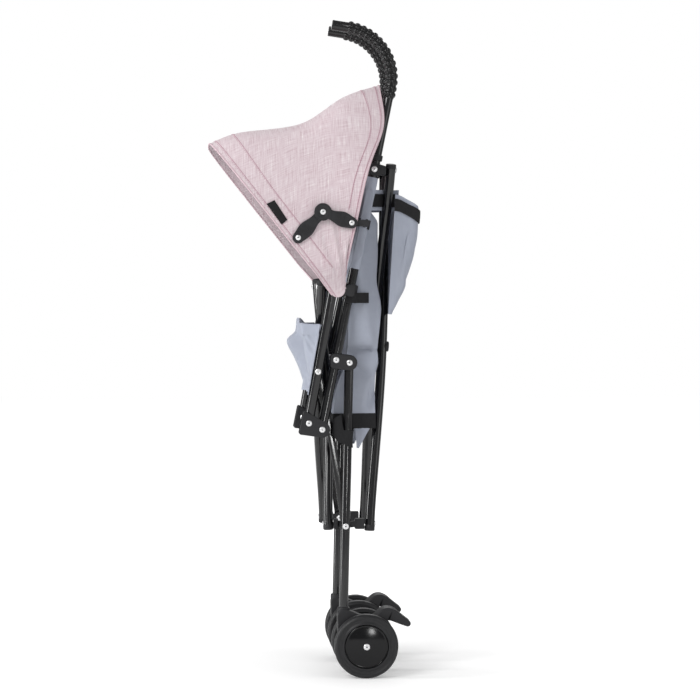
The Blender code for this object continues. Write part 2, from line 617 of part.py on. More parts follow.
# Rear braces, crossed behind the seat, and lower stays, crossed in front of the rear legs
for name, side, way in (("left", -1, -1), ("right", 1, 1)):
    owner = name + "_brace"
    a = at(BRACE_TOP, side * PIN_Y)
    b = at(BRACE_LOW, -side * PIN_Y)
    body(owner, a)
    tube, axis, length = bowed(a, b, BRACE_NORMAL * way, 9.0, 12.0)
    middle = a.lerp(b, 0.5) + BRACE_NORMAL * way * (BOW - 1) * MM
    cap = rod(middle, middle + BRACE_NORMAL * way * (TUBE_R + 4.0) * MM, 8.6)
    pin = rod(a, a - BRACE_NORMAL * (TUBE_R + 7.5) * MM, RIVET_R, PIN_SIDES)
    studs = [rod(p + BRACE_NORMAL * 4 * MM, p + BRACE_NORMAL * (TUBE_R + 1.6) * MM, HEAD_R, PIN_SIDES) for p in (a, b)]
    piece(owner, tube, PAINT, owner, add=[cap, pin] + studs)

for name, side, way in (("left", -1, 1), ("right", 1, -1)):
    owner = name + "_stay"
    a = at(STAY_LOW, side * PIN_Y)
    b = at(STAY_TOP, -side * PIN_Y)
    body(owner, a)
    tube, axis, length = bowed(a, b, STAY_NORMAL * way, 9.5, 12.0)
    middle = a.lerp(b, 0.5) + STAY_NORMAL * way * (BOW - 1) * MM
    cap = rod(middle, middle + STAY_NORMAL * way * (TUBE_R + 4.0) * MM, 8.0)
    pin = rod(a, a + STAY_NORMAL * (TUBE_R + 7.5) * MM, RIVET_R, PIN_SIDES)
    studs = [rod(p - STAY_NORMAL * 4 * MM, p - STAY_NORMAL * (TUBE_R + 1.6) * MM, HEAD_R, PIN_SIDES) for p in (a, b)]
    piece(owner, tube, PAINT, owner, add=[cap, pin] + studs)

# Fabric forms

def smooth(t):
    t = min(1.0, max(0.0, t))
    return t * t * (3 - 2 * t)


def along(points, t):
    """A point at t from 0 to 1 on the smooth curve through points."""
    n = len(points) - 1
    i = min(int(t * n), n - 1)
    f = t * n - i
    p0, p1, p2 = points[max(i - 1, 0)], points[i], points[i + 1]
    p3 = points[min(i + 2, n)]
    return tuple(0.5 * (2 * b + (c - a) * f + (2 * a - 5 * b + 4 * c - d) * f * f
                        + (3 * b - a - 3 * c + d) * f ** 3) for a, b, c, d in zip(p0, p1, p2, p3))


def sheet(rows, thickness):
    """A closed cloth from a grid of points, thickness to the side its normals leave."""
    m, n = len(rows), len(rows[0])
    inner = []
    for i in range(m):
        inner.append([])
        for j in range(n):
            du = rows[min(i + 1, m - 1)][j] - rows[max(i - 1, 0)][j]
            dv = rows[i][min(j + 1, n - 1)] - rows[i][max(j - 1, 0)]
            inner[-1].append(rows[i][j] + du.cross(dv).normalized() * thickness * MM)
    verts = [p for row in rows for p in row] + [p for row in inner for p in row]
    faces = []
    k = m * n
    for i in range(m - 1):
        for j in range(n - 1):
            a, b, c, d = i * n + j, i * n + j + 1, (i + 1) * n + j + 1, (i + 1) * n + j
            faces += [(a, b, c, d), (k + d, k + c, k + b, k + a)]
    for i in range(m - 1):
        for j in (0, n - 1):
            a, b = i * n + j, (i + 1) * n + j
            faces.append((a, b, k + b, k + a))
    for j in range(n - 1):
        for i in (0, m - 1):
            a, b = i * n + j, i * n + j + 1
            faces.append((a, b, k + b, k + a))
    return mesh_from(verts, faces)


def loft(rings):
    """A closed solid through rings of points, each ring with the same count."""
    n = len(rings[0])
    verts = [p for ring in rings for p in ring]
    faces = [tuple(range(n)), tuple((len(rings) - 1) * n + k for k in range(n))]
    for i in range(len(rings) - 1):
        for k in range(n):
            j = (k + 1) % n
            faces.append((i * n + k, i * n + j, (i + 1) * n + j, (i + 1) * n + k))
    return mesh_from(verts, faces)


def hood_point(u, phi, inset=0.0):
    """The hood at bow u (0 front, 1 rear) and angle phi (0 foot, 90 middle of the roof)."""
    top = along(HOOD_TOP, u)
    turn = math.radians(225 - 200 * u)
    low = (HOOD_PIVOT[0] + HOOD_LOBE * math.sin(turn), HOOD_PIVOT[1] + HOOD_LOBE * math.cos(turn))
    g = math.sin(math.radians(phi)) ** 0.38
    across = math.cos(math.radians(phi)) ** 0.38 if phi < 90 else 0.0
    width = HOOD_FOOT + (HOOD_W - HOOD_FOOT) * smooth(g / 0.2)
    width -= (HOOD_W - HOOD_REAR_W) * u ** 3 * smooth((g - 0.45) / 0.5)
    bulge = 22.0 * smooth((u - 0.55) / 0.45) * math.sin(math.pi * g)
    x = low[0] + (top[0] - low[0]) * g + bulge
    z = low[1] + (top[1] - low[1]) * g
    return x, z, width * across


angles = [0, 0.6, 3, 9, 19, 32, 47, 62, 76, 90]
rows = []
for i in range(9):
    row = []
    for phi in angles:
        x, z, y = hood_point(i / 8, phi)
        row.append(at((x, z), -y))
    for phi in angles[-2::-1]:
        x, z, y = hood_point(i / 8, phi)
        row.append(at((x, z), y))
    rows.append(row)
piece("canopy", sheet(rows, -CLOTH), PINK, "left_frame",
      cut=[bore(ARM_REAR, side * (HOOD_W - 20), side * (HOOD_W + 20), 6.3) for side in (-1, 1)])

for name, side in (("left", -1), ("right", 1)):
    frame = name + "_frame"
    wall = HOOD_W + 0.5
    body(name + "_arm_rear", at(ARM_REAR, side * wall))
    body(name + "_arm_front", at(ARM_ELBOW, side * wall))
    reach = (ARM_ELBOW[0] - ARM_FRONT[0], ARM_ELBOW[1] - ARM_FRONT[1])
    plate = strap([ARM_FRONT, plus(ARM_FRONT, reach, 0.33), plus(ARM_FRONT, reach, 0.7), ARM_ELBOW],
                  [ARM_W, ARM_LEAF, ARM_NECK, ARM_W], 5)
    piece(name + "_arm_front", prism(plate, side * wall, side * (wall + ARM_T), 0.6), PLASTIC,
          name + "_arm_front", cut=[bore(ARM_ELBOW, side * (wall - 20), side * (wall + 20))],
          add=[rod(at(ARM_FRONT, side * (wall + 1)), at(ARM_FRONT, side * (wall + ARM_T + 1.2)),
                   HEAD_R - 0.6, PIN_SIDES)])
    reach = (ARM_ELBOW[0] - ARM_REAR[0], ARM_ELBOW[1] - ARM_REAR[1])
    plate = strap([ARM_REAR, plus(ARM_REAR, reach, 0.33), plus(ARM_REAR, reach, 0.7), ARM_ELBOW],
                  [ARM_W, ARM_LEAF, ARM_NECK, ARM_W], 5)
    over = wall + ARM_T + GAP
    pin_in = rod(at(ARM_REAR, side * (over + 1)), at(ARM_REAR, side * (HOOD_W - 4.5)), RIVET_R, PIN_SIDES)
    elbow = rod(at(ARM_ELBOW, side * (over + 1)), at(ARM_ELBOW, side * (wall + 0.2)), RIVET_R, PIN_SIDES)
    studs = [rod(at(c, side * (over + 1)), at(c, side * (over + ARM_T + 1.2)), HEAD_R - 0.6, PIN_SIDES)
             for c in (ARM_ELBOW, ARM_REAR)]
    disc = turned(at(ARM_ELBOW, side * over), Vector((0, side, 0)),
                  [(0.2, 0), (0.2, ARM_DISC), (ARM_T - 0.2, ARM_DISC), (ARM_T + 0.5, ARM_DISC - 1.0), (ARM_T + 0.5, 0)], 16)
    piece(name + "_arm_rear", prism(plate, side * over, side * (over + ARM_T), 0.6), PLASTIC,
          name + "_arm_rear", add=[pin_in, elbow, disc] + studs)

    # Clip that carries the arm: a collar on the push tube and a plate outside the folded wheel
    z = ARM_REAR[1]
    ty = push_y(z)
    ring = swept([on_push(z - 9, side), on_push(z + 9, side)], [SLEEVE_R + 3.2] * 2, TUBE_SIDES)
    face = HOOD_W - CLOTH - 1.0
    keep = prism(hull([(push_x(z) + 1.5, z - 5, 4.0), (push_x(z) + 1.5, z + 5, 4.0)], 8),
                 side * (ty + 6), side * face)
    arm_plate = prism(hull([(push_x(z) + 1.5, z, 5.0), (*ARM_REAR, 5.6)], 10), side * (face - 2.4), side * face)
    boss = rod(at(ARM_REAR, side * (face - 2)), at(ARM_REAR, side * (over - GAP)), 5.6, 10)
    front_cut = prism(hull([(-40, z - 20, 1), (-40, z + 20, 1), (push_x(z) - 7.5, z + 20, 1),
                            (push_x(z) - 7.5, z - 20, 1)], 8), side * 40, side * (face - 3))
    piece(name + "_arm_clip", ring, PLASTIC, frame, add=[keep, arm_plate, boss],
          cut=[front_cut, rod(on_push(z - 20, side), on_push(z + 20, side), SLEEVE_R + GAP),
               bore(ARM_REAR, side * (wall - 30), side * (wall + 20))])

    # Clip at the hood's foot
    z = HOOD_PIVOT[1] - 2
    ty = push_y(z)
    ring = swept([on_push(z - 10, side), on_push(z + 10, side)], [SLEEVE_R + 3.0] * 2, TUBE_SIDES)
    reach = prism(hull([(push_x(z), z - 4, 6.0), (push_x(z), z + 4, 6.0), (-38.5, z, 5.0)], 10),
                  side * (ty + 4), side * (HOOD_FOOT - CLOTH - 0.4))
    piece(name + "_hood_clip", ring, PLASTIC, frame, add=[reach],
          cut=[rod(on_push(z - 20, side), on_push(z + 20, side), SLEEVE_R + GAP)])

    # Seat sleeve round the push tube
    line = [on_push(z, side) for z in SLEEVE_Z]
    bulges = [SLEEVE_R, SLEEVE_R]
    piece(name + "_seat_sleeve", swept(line, bulges, TUBE_SIDES), GREY, frame,
          cut=[rod(on_push(SLEEVE_Z[0] - 10, side), on_push(SLEEVE_Z[1] + 10, side), TUBE_R + GAP)])

    # Strap sewn round the rear leg
    y = LEG_Y

    def band(z, grow):
        lx = leg_x(z)
        flat = hull([(lx, y, 9.2 + grow), (lx - 19.5, y + 1.6, 6.4 + grow)], 12)
        return [at((px, z), side * py) for px, py in flat]

    piece(name + "_leg_strap", loft([band(z, g) for z, g in ((380, 0), (408, -0.6), (436, 0))]), WEBBING, name + "_rear_leg",
          cut=[rod(at((leg_x(370), 370), side * y), at((leg_x(446), 446), side * y), LEG_R + GAP)])


def brace_x(z):
    return BRACE_LOW[0] + (z - BRACE_LOW[1]) * (BRACE_TOP[0] - BRACE_LOW[0]) / (BRACE_TOP[1] - BRACE_LOW[1])


# Seat cloth: hangs between the push tubes in upright folds
rows = []
half = 15
for i in range(6):
    z = 396.0 + 396.0 * i / 5
    edge = min(61.0, push_y(z) - SLEEVE_R - SEAT_PLAY)
    swell = 0.86 + 0.14 * math.sin(z / 47)
    row = []
    for j in range(-half, half + 1):
        t = abs(j) / half
        x = brace_x(z) - 41.5 + 16.5 * swell * math.cos(5 * math.pi * t)
        x += 26.0 * math.exp(-((t - 0.8) / 0.09) ** 2) * smooth((655 - z) / 60)
        row.append(at((x, z), j / half * edge))
    rows.append(row)
piece("seat_cloth", sheet(rows, 2.4), GREY, "left_frame")

# Rear basket: an open-topped bag behind the braces, its sides reaching the push tubes
levels = [(600.0, 40.0), (616.0, 50.0), (655.0, 65.0), (702.0, 78.5), (742.0, 86.0), (768.0, 87.0), (790.0, 76.0)]


def bag(z, back):
    """One level of the basket: its top corners reach forward to the seat sleeves, which they are sewn to."""
    front = push_x(z) + SLEEVE_R + GAP if z > 760 else brace_x(z) - 14
    wide = BASKET_W - 0.012 * (790 - z)
    r = 12.0
    ring = [(front, -wide), (back - r, -wide)]
    ring += [(back - r + r * math.sin(math.radians(a)), -wide + r - r * math.cos(math.radians(a)))
             for a in (30, 60, 90)]
    ring = ring + [(x, -y) for x, y in ring[::-1]]
    return [at((x, z), y) for x, y in ring]


outer = loft([bag(z, b + 4) for z, b in levels])


def wedge(x0, x1, z0, z1, w):
    """The space between two lines that lean like the braces."""
    ring = [(brace_x(z0) + x0, z0), (brace_x(z0) + x1, z0), (brace_x(z1) + x1, z1), (brace_x(z1) + x0, z1)]
    return prism(ring, -w, w)


piece("rear_basket", outer, GREY, "left_frame",
      cut=[wedge(-70, 18.6, 560, 830, BASKET_W - CLOTH - 1.8),
           loft([[at((x + dx, z), y) for x, y, dx in
                  ((brace_x(z) + 20.6, -BASKET_W + CLOTH + 1.8, 0), (b + 4 - CLOTH - 7, -BASKET_W + CLOTH + 1.8, 0),
                   (b + 4 - CLOTH, -BASKET_W + CLOTH + 9, 0), (b + 4 - CLOTH, BASKET_W - CLOTH - 9, 0),
                   (b + 4 - CLOTH - 7, BASKET_W - CLOTH - 1.8, 0), (brace_x(z) + 20.6, BASKET_W - CLOTH - 1.8, 0))]
                 for z, b in ((655.0, 65.0), (702.0, 78.5), (742.0, 86.0), (768.0, 87.0), (800.0, 76.0))])])

# Calf support: a soft panel slung between the front legs
profile = ((-84.0, 591.0), (-105.0, 582.0), (-120.5, 548.0), (-108.0, 505.0), (-88.5, 455.0))
rows = []
for i in range(7):
    x, z = along(profile, i / 6)
    row = []
    for j in range(-6, 7):
        t = abs(j) / 6
        ease = smooth((t - 0.62) / 0.3)
        leg = KNUCKLE_LEG[0] + (z - KNUCKLE_LEG[1]) * FRONT_DIR[0] / FRONT_DIR[1] - TUBE_R - 3.0
        px = x + (leg - x) * ease * 0.97 + 2.2 * math.cos(3 * math.pi * t) * (1 - ease)
        row.append(at((px, z), j / 6 * 94.0))
    rows.append(row)
piece("calf_pouch", sheet(rows, CLOTH), GREY, "left_frame")
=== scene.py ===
import math
import bmesh
import bpy
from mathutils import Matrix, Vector, noise


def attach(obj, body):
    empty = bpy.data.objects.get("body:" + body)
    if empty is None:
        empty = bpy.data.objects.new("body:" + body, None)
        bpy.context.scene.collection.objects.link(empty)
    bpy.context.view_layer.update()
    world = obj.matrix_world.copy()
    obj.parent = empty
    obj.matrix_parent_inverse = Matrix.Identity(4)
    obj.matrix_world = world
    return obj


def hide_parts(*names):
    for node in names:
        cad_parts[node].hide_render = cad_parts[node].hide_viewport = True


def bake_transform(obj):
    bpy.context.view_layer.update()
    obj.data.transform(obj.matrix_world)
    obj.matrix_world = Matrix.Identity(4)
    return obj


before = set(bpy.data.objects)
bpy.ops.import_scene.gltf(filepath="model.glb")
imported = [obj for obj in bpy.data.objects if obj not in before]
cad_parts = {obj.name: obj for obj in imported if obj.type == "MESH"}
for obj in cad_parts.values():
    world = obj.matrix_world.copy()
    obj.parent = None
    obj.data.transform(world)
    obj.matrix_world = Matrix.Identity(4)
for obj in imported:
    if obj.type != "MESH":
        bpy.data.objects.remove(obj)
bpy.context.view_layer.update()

# Push tubes
# Two 16 mm steel tubes that run from the front knuckles up to the hooked handles. They are bent
# cold and stove-enamelled black, and a moulded stop collar sits above each brace head.
SIDES = (("left", -1), ("right", 1))
TUBE = 8.0
REAR_AXLE_X = 81.25
KNUCKLE = (-70.6, 405.0)
BRACE_PIVOT = (17.1, 831.1)
PUSH_FOOT_Y, PUSH_TAPER = 88.3, 0.0647
HOOK_START, HOOK_R, HOOK_TURN, HOOK_STEPS = 967.0, 82.7, 93.1, 34
COLLAR_LOW, COLLAR_HIGH, COLLAR_R = 15.0, 24.0, 10.4


def at(xz, y):
    """A point in metres, from millimetres behind the rear axle and over the floor."""
    return Vector(((xz[0] + REAR_AXLE_X) * 0.001, y * 0.001, xz[1] * 0.001))


def plus(a, b, k=1.0):
    return (a[0] + k * b[0], a[1] + k * b[1])


def unit(a, b):
    n = math.hypot(b[0] - a[0], b[1] - a[1])
    return ((b[0] - a[0]) / n, (b[1] - a[1]) / n)


def turned_xz(v, degrees):
    """A direction in the side plane, turned from up towards the rear."""
    c, s = math.cos(math.radians(degrees)), math.sin(math.radians(degrees))
    return (c * v[0] + s * v[1], c * v[1] - s * v[0])


PUSH = unit(KNUCKLE, BRACE_PIVOT)


def push_x(z):
    return KNUCKLE[0] + (z - KNUCKLE[1]) * PUSH[0] / PUSH[1]


def push_y(z):
    return PUSH_FOOT_Y - PUSH_TAPER * (z - KNUCKLE[1])


def on_push(z, side):
    return at((push_x(z), z), side * push_y(z))


def linear(text):
    """An sRGB hex colour as linear red, green, blue and alpha."""
    parts = [int(text[i:i + 2], 16) / 255 for i in (0, 2, 4)]
    return [c / 12.92 if c <= 0.04045 else ((c + 0.055) / 1.055) ** 2.4 for c in parts] + [1.0]


def add(tree, kind, settings=(), links=()):
    """One node with its settings, and its sockets filled from values or from other sockets."""
    node = tree.nodes.new(kind)
    for name, value in dict(settings).items():
        setattr(node, name, value)
    for socket, value in dict(links).items():
        if isinstance(value, bpy.types.NodeSocket):
            tree.links.new(value, node.inputs[socket])
        else:
            node.inputs[socket].default_value = value
    return node


def finish(name, colour, roughness, metallic=0.0, specular=0.5):
    """A material of one colour, ready for its grain."""
    made = bpy.data.materials.new(name)
    made.use_nodes = True
    shader = made.node_tree.nodes["Principled BSDF"]
    shader.inputs["Base Color"].default_value = linear(colour)
    shader.inputs["Roughness"].default_value = roughness
    shader.inputs["Metallic"].default_value = metallic
    shader.inputs["Specular IOR Level"].default_value = specular
    return made, made.node_tree, shader


def grain(tree, shader, pitch, rough, lift):
    """Unevenness of a pitch in mm, which moves the roughness between two values and lifts the skin."""
    where = add(tree, "ShaderNodeTexCoord").outputs["Object"]
    speckle = add(tree, "ShaderNodeTexNoise", {}, {"Vector": where, "Scale": 1000 / pitch, "Detail": 3.0})
    worn = add(tree, "ShaderNodeMapRange", {}, {"Value": speckle.outputs[0], "From Min": 0.3, "From Max": 0.7,
                                                "To Min": rough[0], "To Max": rough[1]})
    tree.links.new(worn.outputs[0], shader.inputs["Roughness"])
    bump = add(tree, "ShaderNodeBump", {}, {"Height": speckle.outputs[0], "Distance": lift * 0.001})
    tree.links.new(bump.outputs[0], shader.inputs["Normal"])


def mesh_of(verts, faces):
    bm = bmesh.new()
    made = [bm.verts.new(v) for v in verts]
    for face in faces:
        bm.faces.new([made[i] for i in face])
    bmesh.ops.recalc_face_normals(bm, faces=bm.faces)
    return bm


def swept(points, radii, sides=32):
    """A round bar along points, its rings carried without twist, with closed ends."""
    n = len(points)
    tangents = [(points[min(i + 1, n - 1)] - points[max(i - 1, 0)]).normalized() for i in range(n)]
    side = tangents[0].orthogonal().normalized()
    verts, faces = [], []
    for i in range(n):
        side = (side - tangents[i] * side.dot(tangents[i])).normalized()
        other = tangents[i].cross(side)
        for k in range(sides):
            a = 2 * math.pi * (k + 0.5) / sides
            verts.append(points[i] + (side * math.cos(a) + other * math.sin(a)) * radii[i] * 0.001)
    for i in range(n - 1):
        for k in range(sides):
            j = (k + 1) % sides
            faces.append((i * sides + k, i * sides + j, (i + 1) * sides + j, (i + 1) * sides + k))
    faces.append(tuple(range(sides)))
    faces.append(tuple((n - 1) * sides + k for k in range(sides)))
    return mesh_of(verts, faces)


def rod(p, q, radius, sides=32, rim=0.0):
    """A round bar from p to q, its rims rounded by rim mm."""
    if not rim:
        return swept([p, q], [radius, radius], sides)
    way = (q - p).normalized() * rim * 0.001
    steps = [(0.0, 1.0), (0.3, 0.3), (1.0, 0.0)]
    ends = [(p + way * a, radius - rim * b) for a, b in steps]
    ends += [(q - way * a, radius - rim * b) for a, b in steps[::-1]]
    return swept([e[0] for e in ends], [e[1] for e in ends], sides)


def cut_and_joined(obj, join=(), cut=()):
    """The mesh of obj with shapes joined to it and shapes cut from it."""
    for operation, shapes in (("UNION", join), ("DIFFERENCE", cut)):
        for shape in shapes:
            tool = bpy.data.objects.new("tool", bpy.data.meshes.new("tool"))
            shape.to_mesh(tool.data)
            shape.free()
            bpy.context.scene.collection.objects.link(tool)
            modifier = obj.modifiers.new(operation, "BOOLEAN")
            modifier.operation, modifier.solver, modifier.object = operation, "EXACT", tool
    bpy.context.view_layer.update()
    made = bpy.data.meshes.new_from_object(obj.evaluated_get(bpy.context.evaluated_depsgraph_get()))
    for modifier in obj.modifiers:
        bpy.data.objects.remove(modifier.object)
    obj.modifiers.clear()
    return made


def piece(name, bm, skin, rides, stands_for=(), join=(), cut=(), crease=35):
    """One finished piece that rides on a body, and stands for CAD nodes."""
    obj = bpy.data.objects.new(name, bpy.data.meshes.new(name))
    bm.to_mesh(obj.data)
    bm.free()
    bpy.context.scene.collection.objects.link(obj)
    if join or cut:
        obj.data = cut_and_joined(obj, join, cut)
        obj.data.name = name
    obj.data.materials.clear()
    for one in skin if isinstance(skin, (list, tuple)) else [skin]:
        obj.data.materials.append(one)
    obj.data.shade_smooth()
    obj.data.set_sharp_from_angle(angle=math.radians(crease))
    if rides:
        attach(obj, rides)
    if stands_for:
        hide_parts(*stands_for)
    return obj


# Stove enamel on steel tube: near black, a soft gloss that draws one thin light line along each
# tube, with the slight orange peel that sprayed enamel keeps after the oven.
enamel, tree, shader = finish("stove enamel on steel tube", "121214", 0.2, specular=0.5)
grain(tree, shader, 9.0, (0.1, 0.18), 0.02)
shader.inputs["Coat Weight"].default_value = 0.4
shader.inputs["Coat Roughness"].default_value = 0.12

# Injection-moulded polypropylene: black, matt, with the fine spark-eroded grain of the tool.
# The real grain of 0.1 mm is drawn 0.8 mm coarse so that it shows.
moulded, tree, shader = finish("grained black polypropylene moulding", "29292B", 0.45, specular=0.28)
grain(tree, shader, 0.8, (0.4, 0.58), 0.05)


def handle(side, start, tail=0.0):
    """The push tube's centre line from a height up and through the hook, with tail past it."""
    lean = math.degrees(math.atan2(PUSH[0], PUSH[1]))
    line = [(push_x(start), start)]
    if start < HOOK_START - 20:
        line.append((push_x(HOOK_START - 14), HOOK_START - 14))
    centre = plus((push_x(HOOK_START), HOOK_START), (-PUSH[1], PUSH[0]), HOOK_R)
    for k in range(HOOK_STEPS + 1):
        line.append(plus(centre, turned_xz((PUSH[1], -PUSH[0]), -HOOK_TURN * k / HOOK_STEPS), HOOK_R))
    if tail:
        line.append(plus(line[-1], turned_xz((0, 1), lean - HOOK_TURN), tail))
    return [at(p, side * push_y(p[1])) for p in line]


for name, side in SIDES:
    line = handle(side, KNUCKLE[1] - 6.0)
    piece(name + "_push_tube_shown", swept(line, [TUBE] * len(line)), enamel, name + "_frame",
          [name + "_push_tube"])
    collar = [on_push(BRACE_PIVOT[1] + over, side) for over in (COLLAR_LOW, COLLAR_HIGH)]
    piece(name + "_stop_collar", rod(*collar, COLLAR_R, rim=1.0), moulded, name + "_frame")

# Grips
# Black rubber sleeves pushed over the hooks. Rows of soft beads are moulded all round for hold,
# and the last 28 mm is a plain solid tip.
GRIP_START, GRIP_R, TIP = 951.0, 9.0, 28.0
BEAD_PITCH, BEADS_ROUND, BEADS_FROM, BEADS_SHORT = 10.3, 10, 4.5, 8.0
BEAD = {"Length": 0.0045, "Width": 0.003, "Height": 0.0027}
BEAD_OUT = 0.0083

# Moulded thermoplastic rubber: black with a slick skin, so each bead carries one small spot of light.
rubber, tree, shader = finish("slick black grip rubber", "161617", 0.22, specular=0.5)
grain(tree, shader, 3.0, (0.08, 0.16), 0.02)


def scatter_tree(label, sizes, skins):
    """A node tree that takes points, sizes in metres and materials, and its input node."""
    tree = bpy.data.node_groups.new(label, "GeometryNodeTree")
    kinds = [("Places", "Geometry")] + [(s, "Float") for s in sizes] + [(s, "Material") for s in skins]
    for socket, kind in kinds:
        tree.interface.new_socket(socket, in_out="INPUT", socket_type="NodeSocket" + kind)
    tree.interface.new_socket("Made", in_out="OUTPUT", socket_type="NodeSocketGeometry")
    return tree, add(tree, "NodeGroupInput")


def facing(tree, *turns):
    """A rotation that turns each axis in order towards the direction its point carries."""
    rotation = None
    for direction, axis, pivot in turns:
        way = add(tree, "GeometryNodeInputNamedAttribute", {"data_type": "FLOAT_VECTOR"}, {"Name": direction})
        links = {"Vector": way.outputs[0]}
        if rotation is not None:
            links["Rotation"] = rotation
        align = add(tree, "FunctionNodeAlignRotationToVector", {"axis": axis, "pivot_axis": pivot}, links)
        rotation = align.outputs[0]
    return rotation


def ball(tree, given, segments, rings, *radii):
    """A ball with the three named radii."""
    sphere = add(tree, "GeometryNodeMeshUVSphere", {}, {"Segments": segments, "Rings": rings, "Radius": 1.0})
    scale = add(tree, "ShaderNodeCombineXYZ", {}, {a: given.outputs[r] for a, r in zip("XYZ", radii)})
    return add(tree, "GeometryNodeTransform", {}, {"Geometry": sphere.outputs["Mesh"],
                                                   "Scale": scale.outputs[0]}).outputs[0]


def scattered(tree, given, shape, rotation, skin, size=None):
    """The shape on every point as real mesh with its material."""
    links = {"Points": given.outputs["Places"], "Instance": shape, "Rotation": rotation}
    if size is not None:
        links["Scale"] = size
    placed = add(tree, "GeometryNodeInstanceOnPoints", {}, links)
    real = add(tree, "GeometryNodeRealizeInstances", {}, {"Geometry": placed.outputs[0]})
    return add(tree, "GeometryNodeSetMaterial", {}, {"Geometry": real.outputs[0],
                                                     "Material": given.outputs[skin]}).outputs[0]


beads, given = scatter_tree("grip beads", ("Length", "Width", "Height"), ("Rubber",))
turned = facing(beads, ("outward", "Z", "AUTO"), ("ahead", "X", "Z"))
bead = ball(beads, given, 14, 8, "Length", "Width", "Height")
add(beads, "NodeGroupOutput", {}, {"Made": scattered(beads, given, bead, turned, "Rubber")})


def grown(name, group, places, given_values, rides):
    """Runs a node tree on points that carry named directions, and keeps the result as one piece."""
    mesh = bpy.data.meshes.new(name)
    mesh.from_pydata([p["at"] for p in places], [], [])
    for key in places[0]:
        if key == "at":
            continue
        kind = "FLOAT_VECTOR" if isinstance(places[0][key], Vector) else "FLOAT"
        field = mesh.attributes.new(key, kind, "POINT")
        for i, p in enumerate(places):
            if kind == "FLOAT":
                field.data[i].value = p[key]
            else:
                field.data[i].vector = p[key]
    obj = bpy.data.objects.new(name, mesh)
    bpy.context.scene.collection.objects.link(obj)
    modifier = obj.modifiers.new(name, "NODES")
    modifier.node_group = group
    for item in group.interface.items_tree:
        if item.in_out == "INPUT" and item.name in given_values:
            modifier[item.identifier] = given_values[item.name]
    bpy.context.view_layer.update()
    obj.data = bpy.data.meshes.new_from_object(obj.evaluated_get(bpy.context.evaluated_depsgraph_get()))
    obj.modifiers.clear()
    obj.data.shade_smooth()
    if rides:
        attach(obj, rides)
    return obj


for name, side in SIDES:
    line = handle(side, GRIP_START)
    lengths = [0.0]
    for a, b in zip(line, line[1:]):
        lengths.append(lengths[-1] + (b - a).length * 1000)
    places = []
    rows = int((lengths[-1] - 5) / BEAD_PITCH)
    for r in range(rows + 1):
        s = BEADS_FROM + r * (lengths[-1] - BEADS_SHORT) / rows
        i = max(k for k in range(len(line) - 1) if lengths[k] <= s or k == 0)
        f = (s - lengths[i]) / (lengths[i + 1] - lengths[i])
        middle = line[i].lerp(line[i + 1], f)
        ahead_way = (line[i + 1] - line[i]).normalized()
        across = Vector((0, 1, 0))
        across = (across - ahead_way * across.dot(ahead_way)).normalized()
        other = ahead_way.cross(across)
        for k in range(BEADS_ROUND):
            a = 2 * math.pi * (k + 0.5) / BEADS_ROUND
            out = across * math.cos(a) + other * math.sin(a)
            places.append({"at": middle + out * BEAD_OUT, "outward": out, "ahead": ahead_way})
    grown(name + "_grip_beads", beads, places, BEAD | {"Rubber": rubber}, name + "_frame")
    core = handle(side, GRIP_START, TIP)
    way = (core[-1] - core[-2]).normalized()
    end = core.pop()
    core += [core[-1] + way * 0.0006, core[-1] + way * 0.0014, end - way * 0.0012, end - way * 0.0004, end]
    radii = [GRIP_R] * (len(core) - 5) + [GRIP_R, 8.5, 8.5, 8.1, 7.2]
    core.insert(0, core[0] - (core[1] - core[0]).normalized() * 0.0022)
    radii.insert(0, 8.5)
    piece(name + "_grip_sleeve", swept(core, radii), rubber, name + "_frame", [name + "_grip"])

# Rear legs
# Two 15 mm enamelled steel tubes that stand on the rear wheel housings and hang from the leg
# brackets, with their tops pressed narrower where the pivot rivet goes through.
LEG_Y, LEG, LEG_FOOT, LEG_OVER = 81.0, 7.5, 74.0, 7.2
LEG_PIVOT, LEG_CROSS = (-25.4, 513.9), (-31.4, 245.1)
LEG_UP = unit(LEG_CROSS, LEG_PIVOT)


def leg_x(z):
    return LEG_PIVOT[0] + (z - LEG_PIVOT[1]) * LEG_UP[0] / LEG_UP[1]


for name, side in SIDES:
    top = plus(LEG_PIVOT, LEG_UP, LEG_OVER)
    line = [top, plus(top, LEG_UP, -0.6), plus(top, LEG_UP, -2.0), plus(top, LEG_UP, -5.0),
            (leg_x(LEG_FOOT), LEG_FOOT)]
    bar = swept([at(p, side * LEG_Y) for p in line], [4.0, 5.6, 6.8, LEG, LEG])
    piece(name + "_rear_leg_tube", bar, enamel, name + "_rear_leg", [name + "_rear_leg"])

# Front legs
# Two 16 mm enamelled tubes, folded up beside the push tubes, each with the moulded socket that
# takes the stem of its castor.
FRONT_Y = 88.3
FRONT_PIVOT, LINK_TOP = (-92.4, 415.3), (-77.1, 499.5)
FRONT = unit(FRONT_PIVOT, LINK_TOP)
FRONT_HIGH, STAY_HIGH, CASTOR_HIGH, CASTOR_TRAIL = 321.0, 226.9, 345.0, 33.0
STAY_RIVET = plus(FRONT_PIVOT, FRONT, STAY_HIGH)
FRONT_AXLE = plus(plus(FRONT_PIVOT, FRONT, CASTOR_HIGH), (-FRONT[1], FRONT[0]), CASTOR_TRAIL)


def front_at(up, y):
    """A point at some mm up the front leg from its pivot."""
    return at(plus(FRONT_PIVOT, FRONT, up), y)


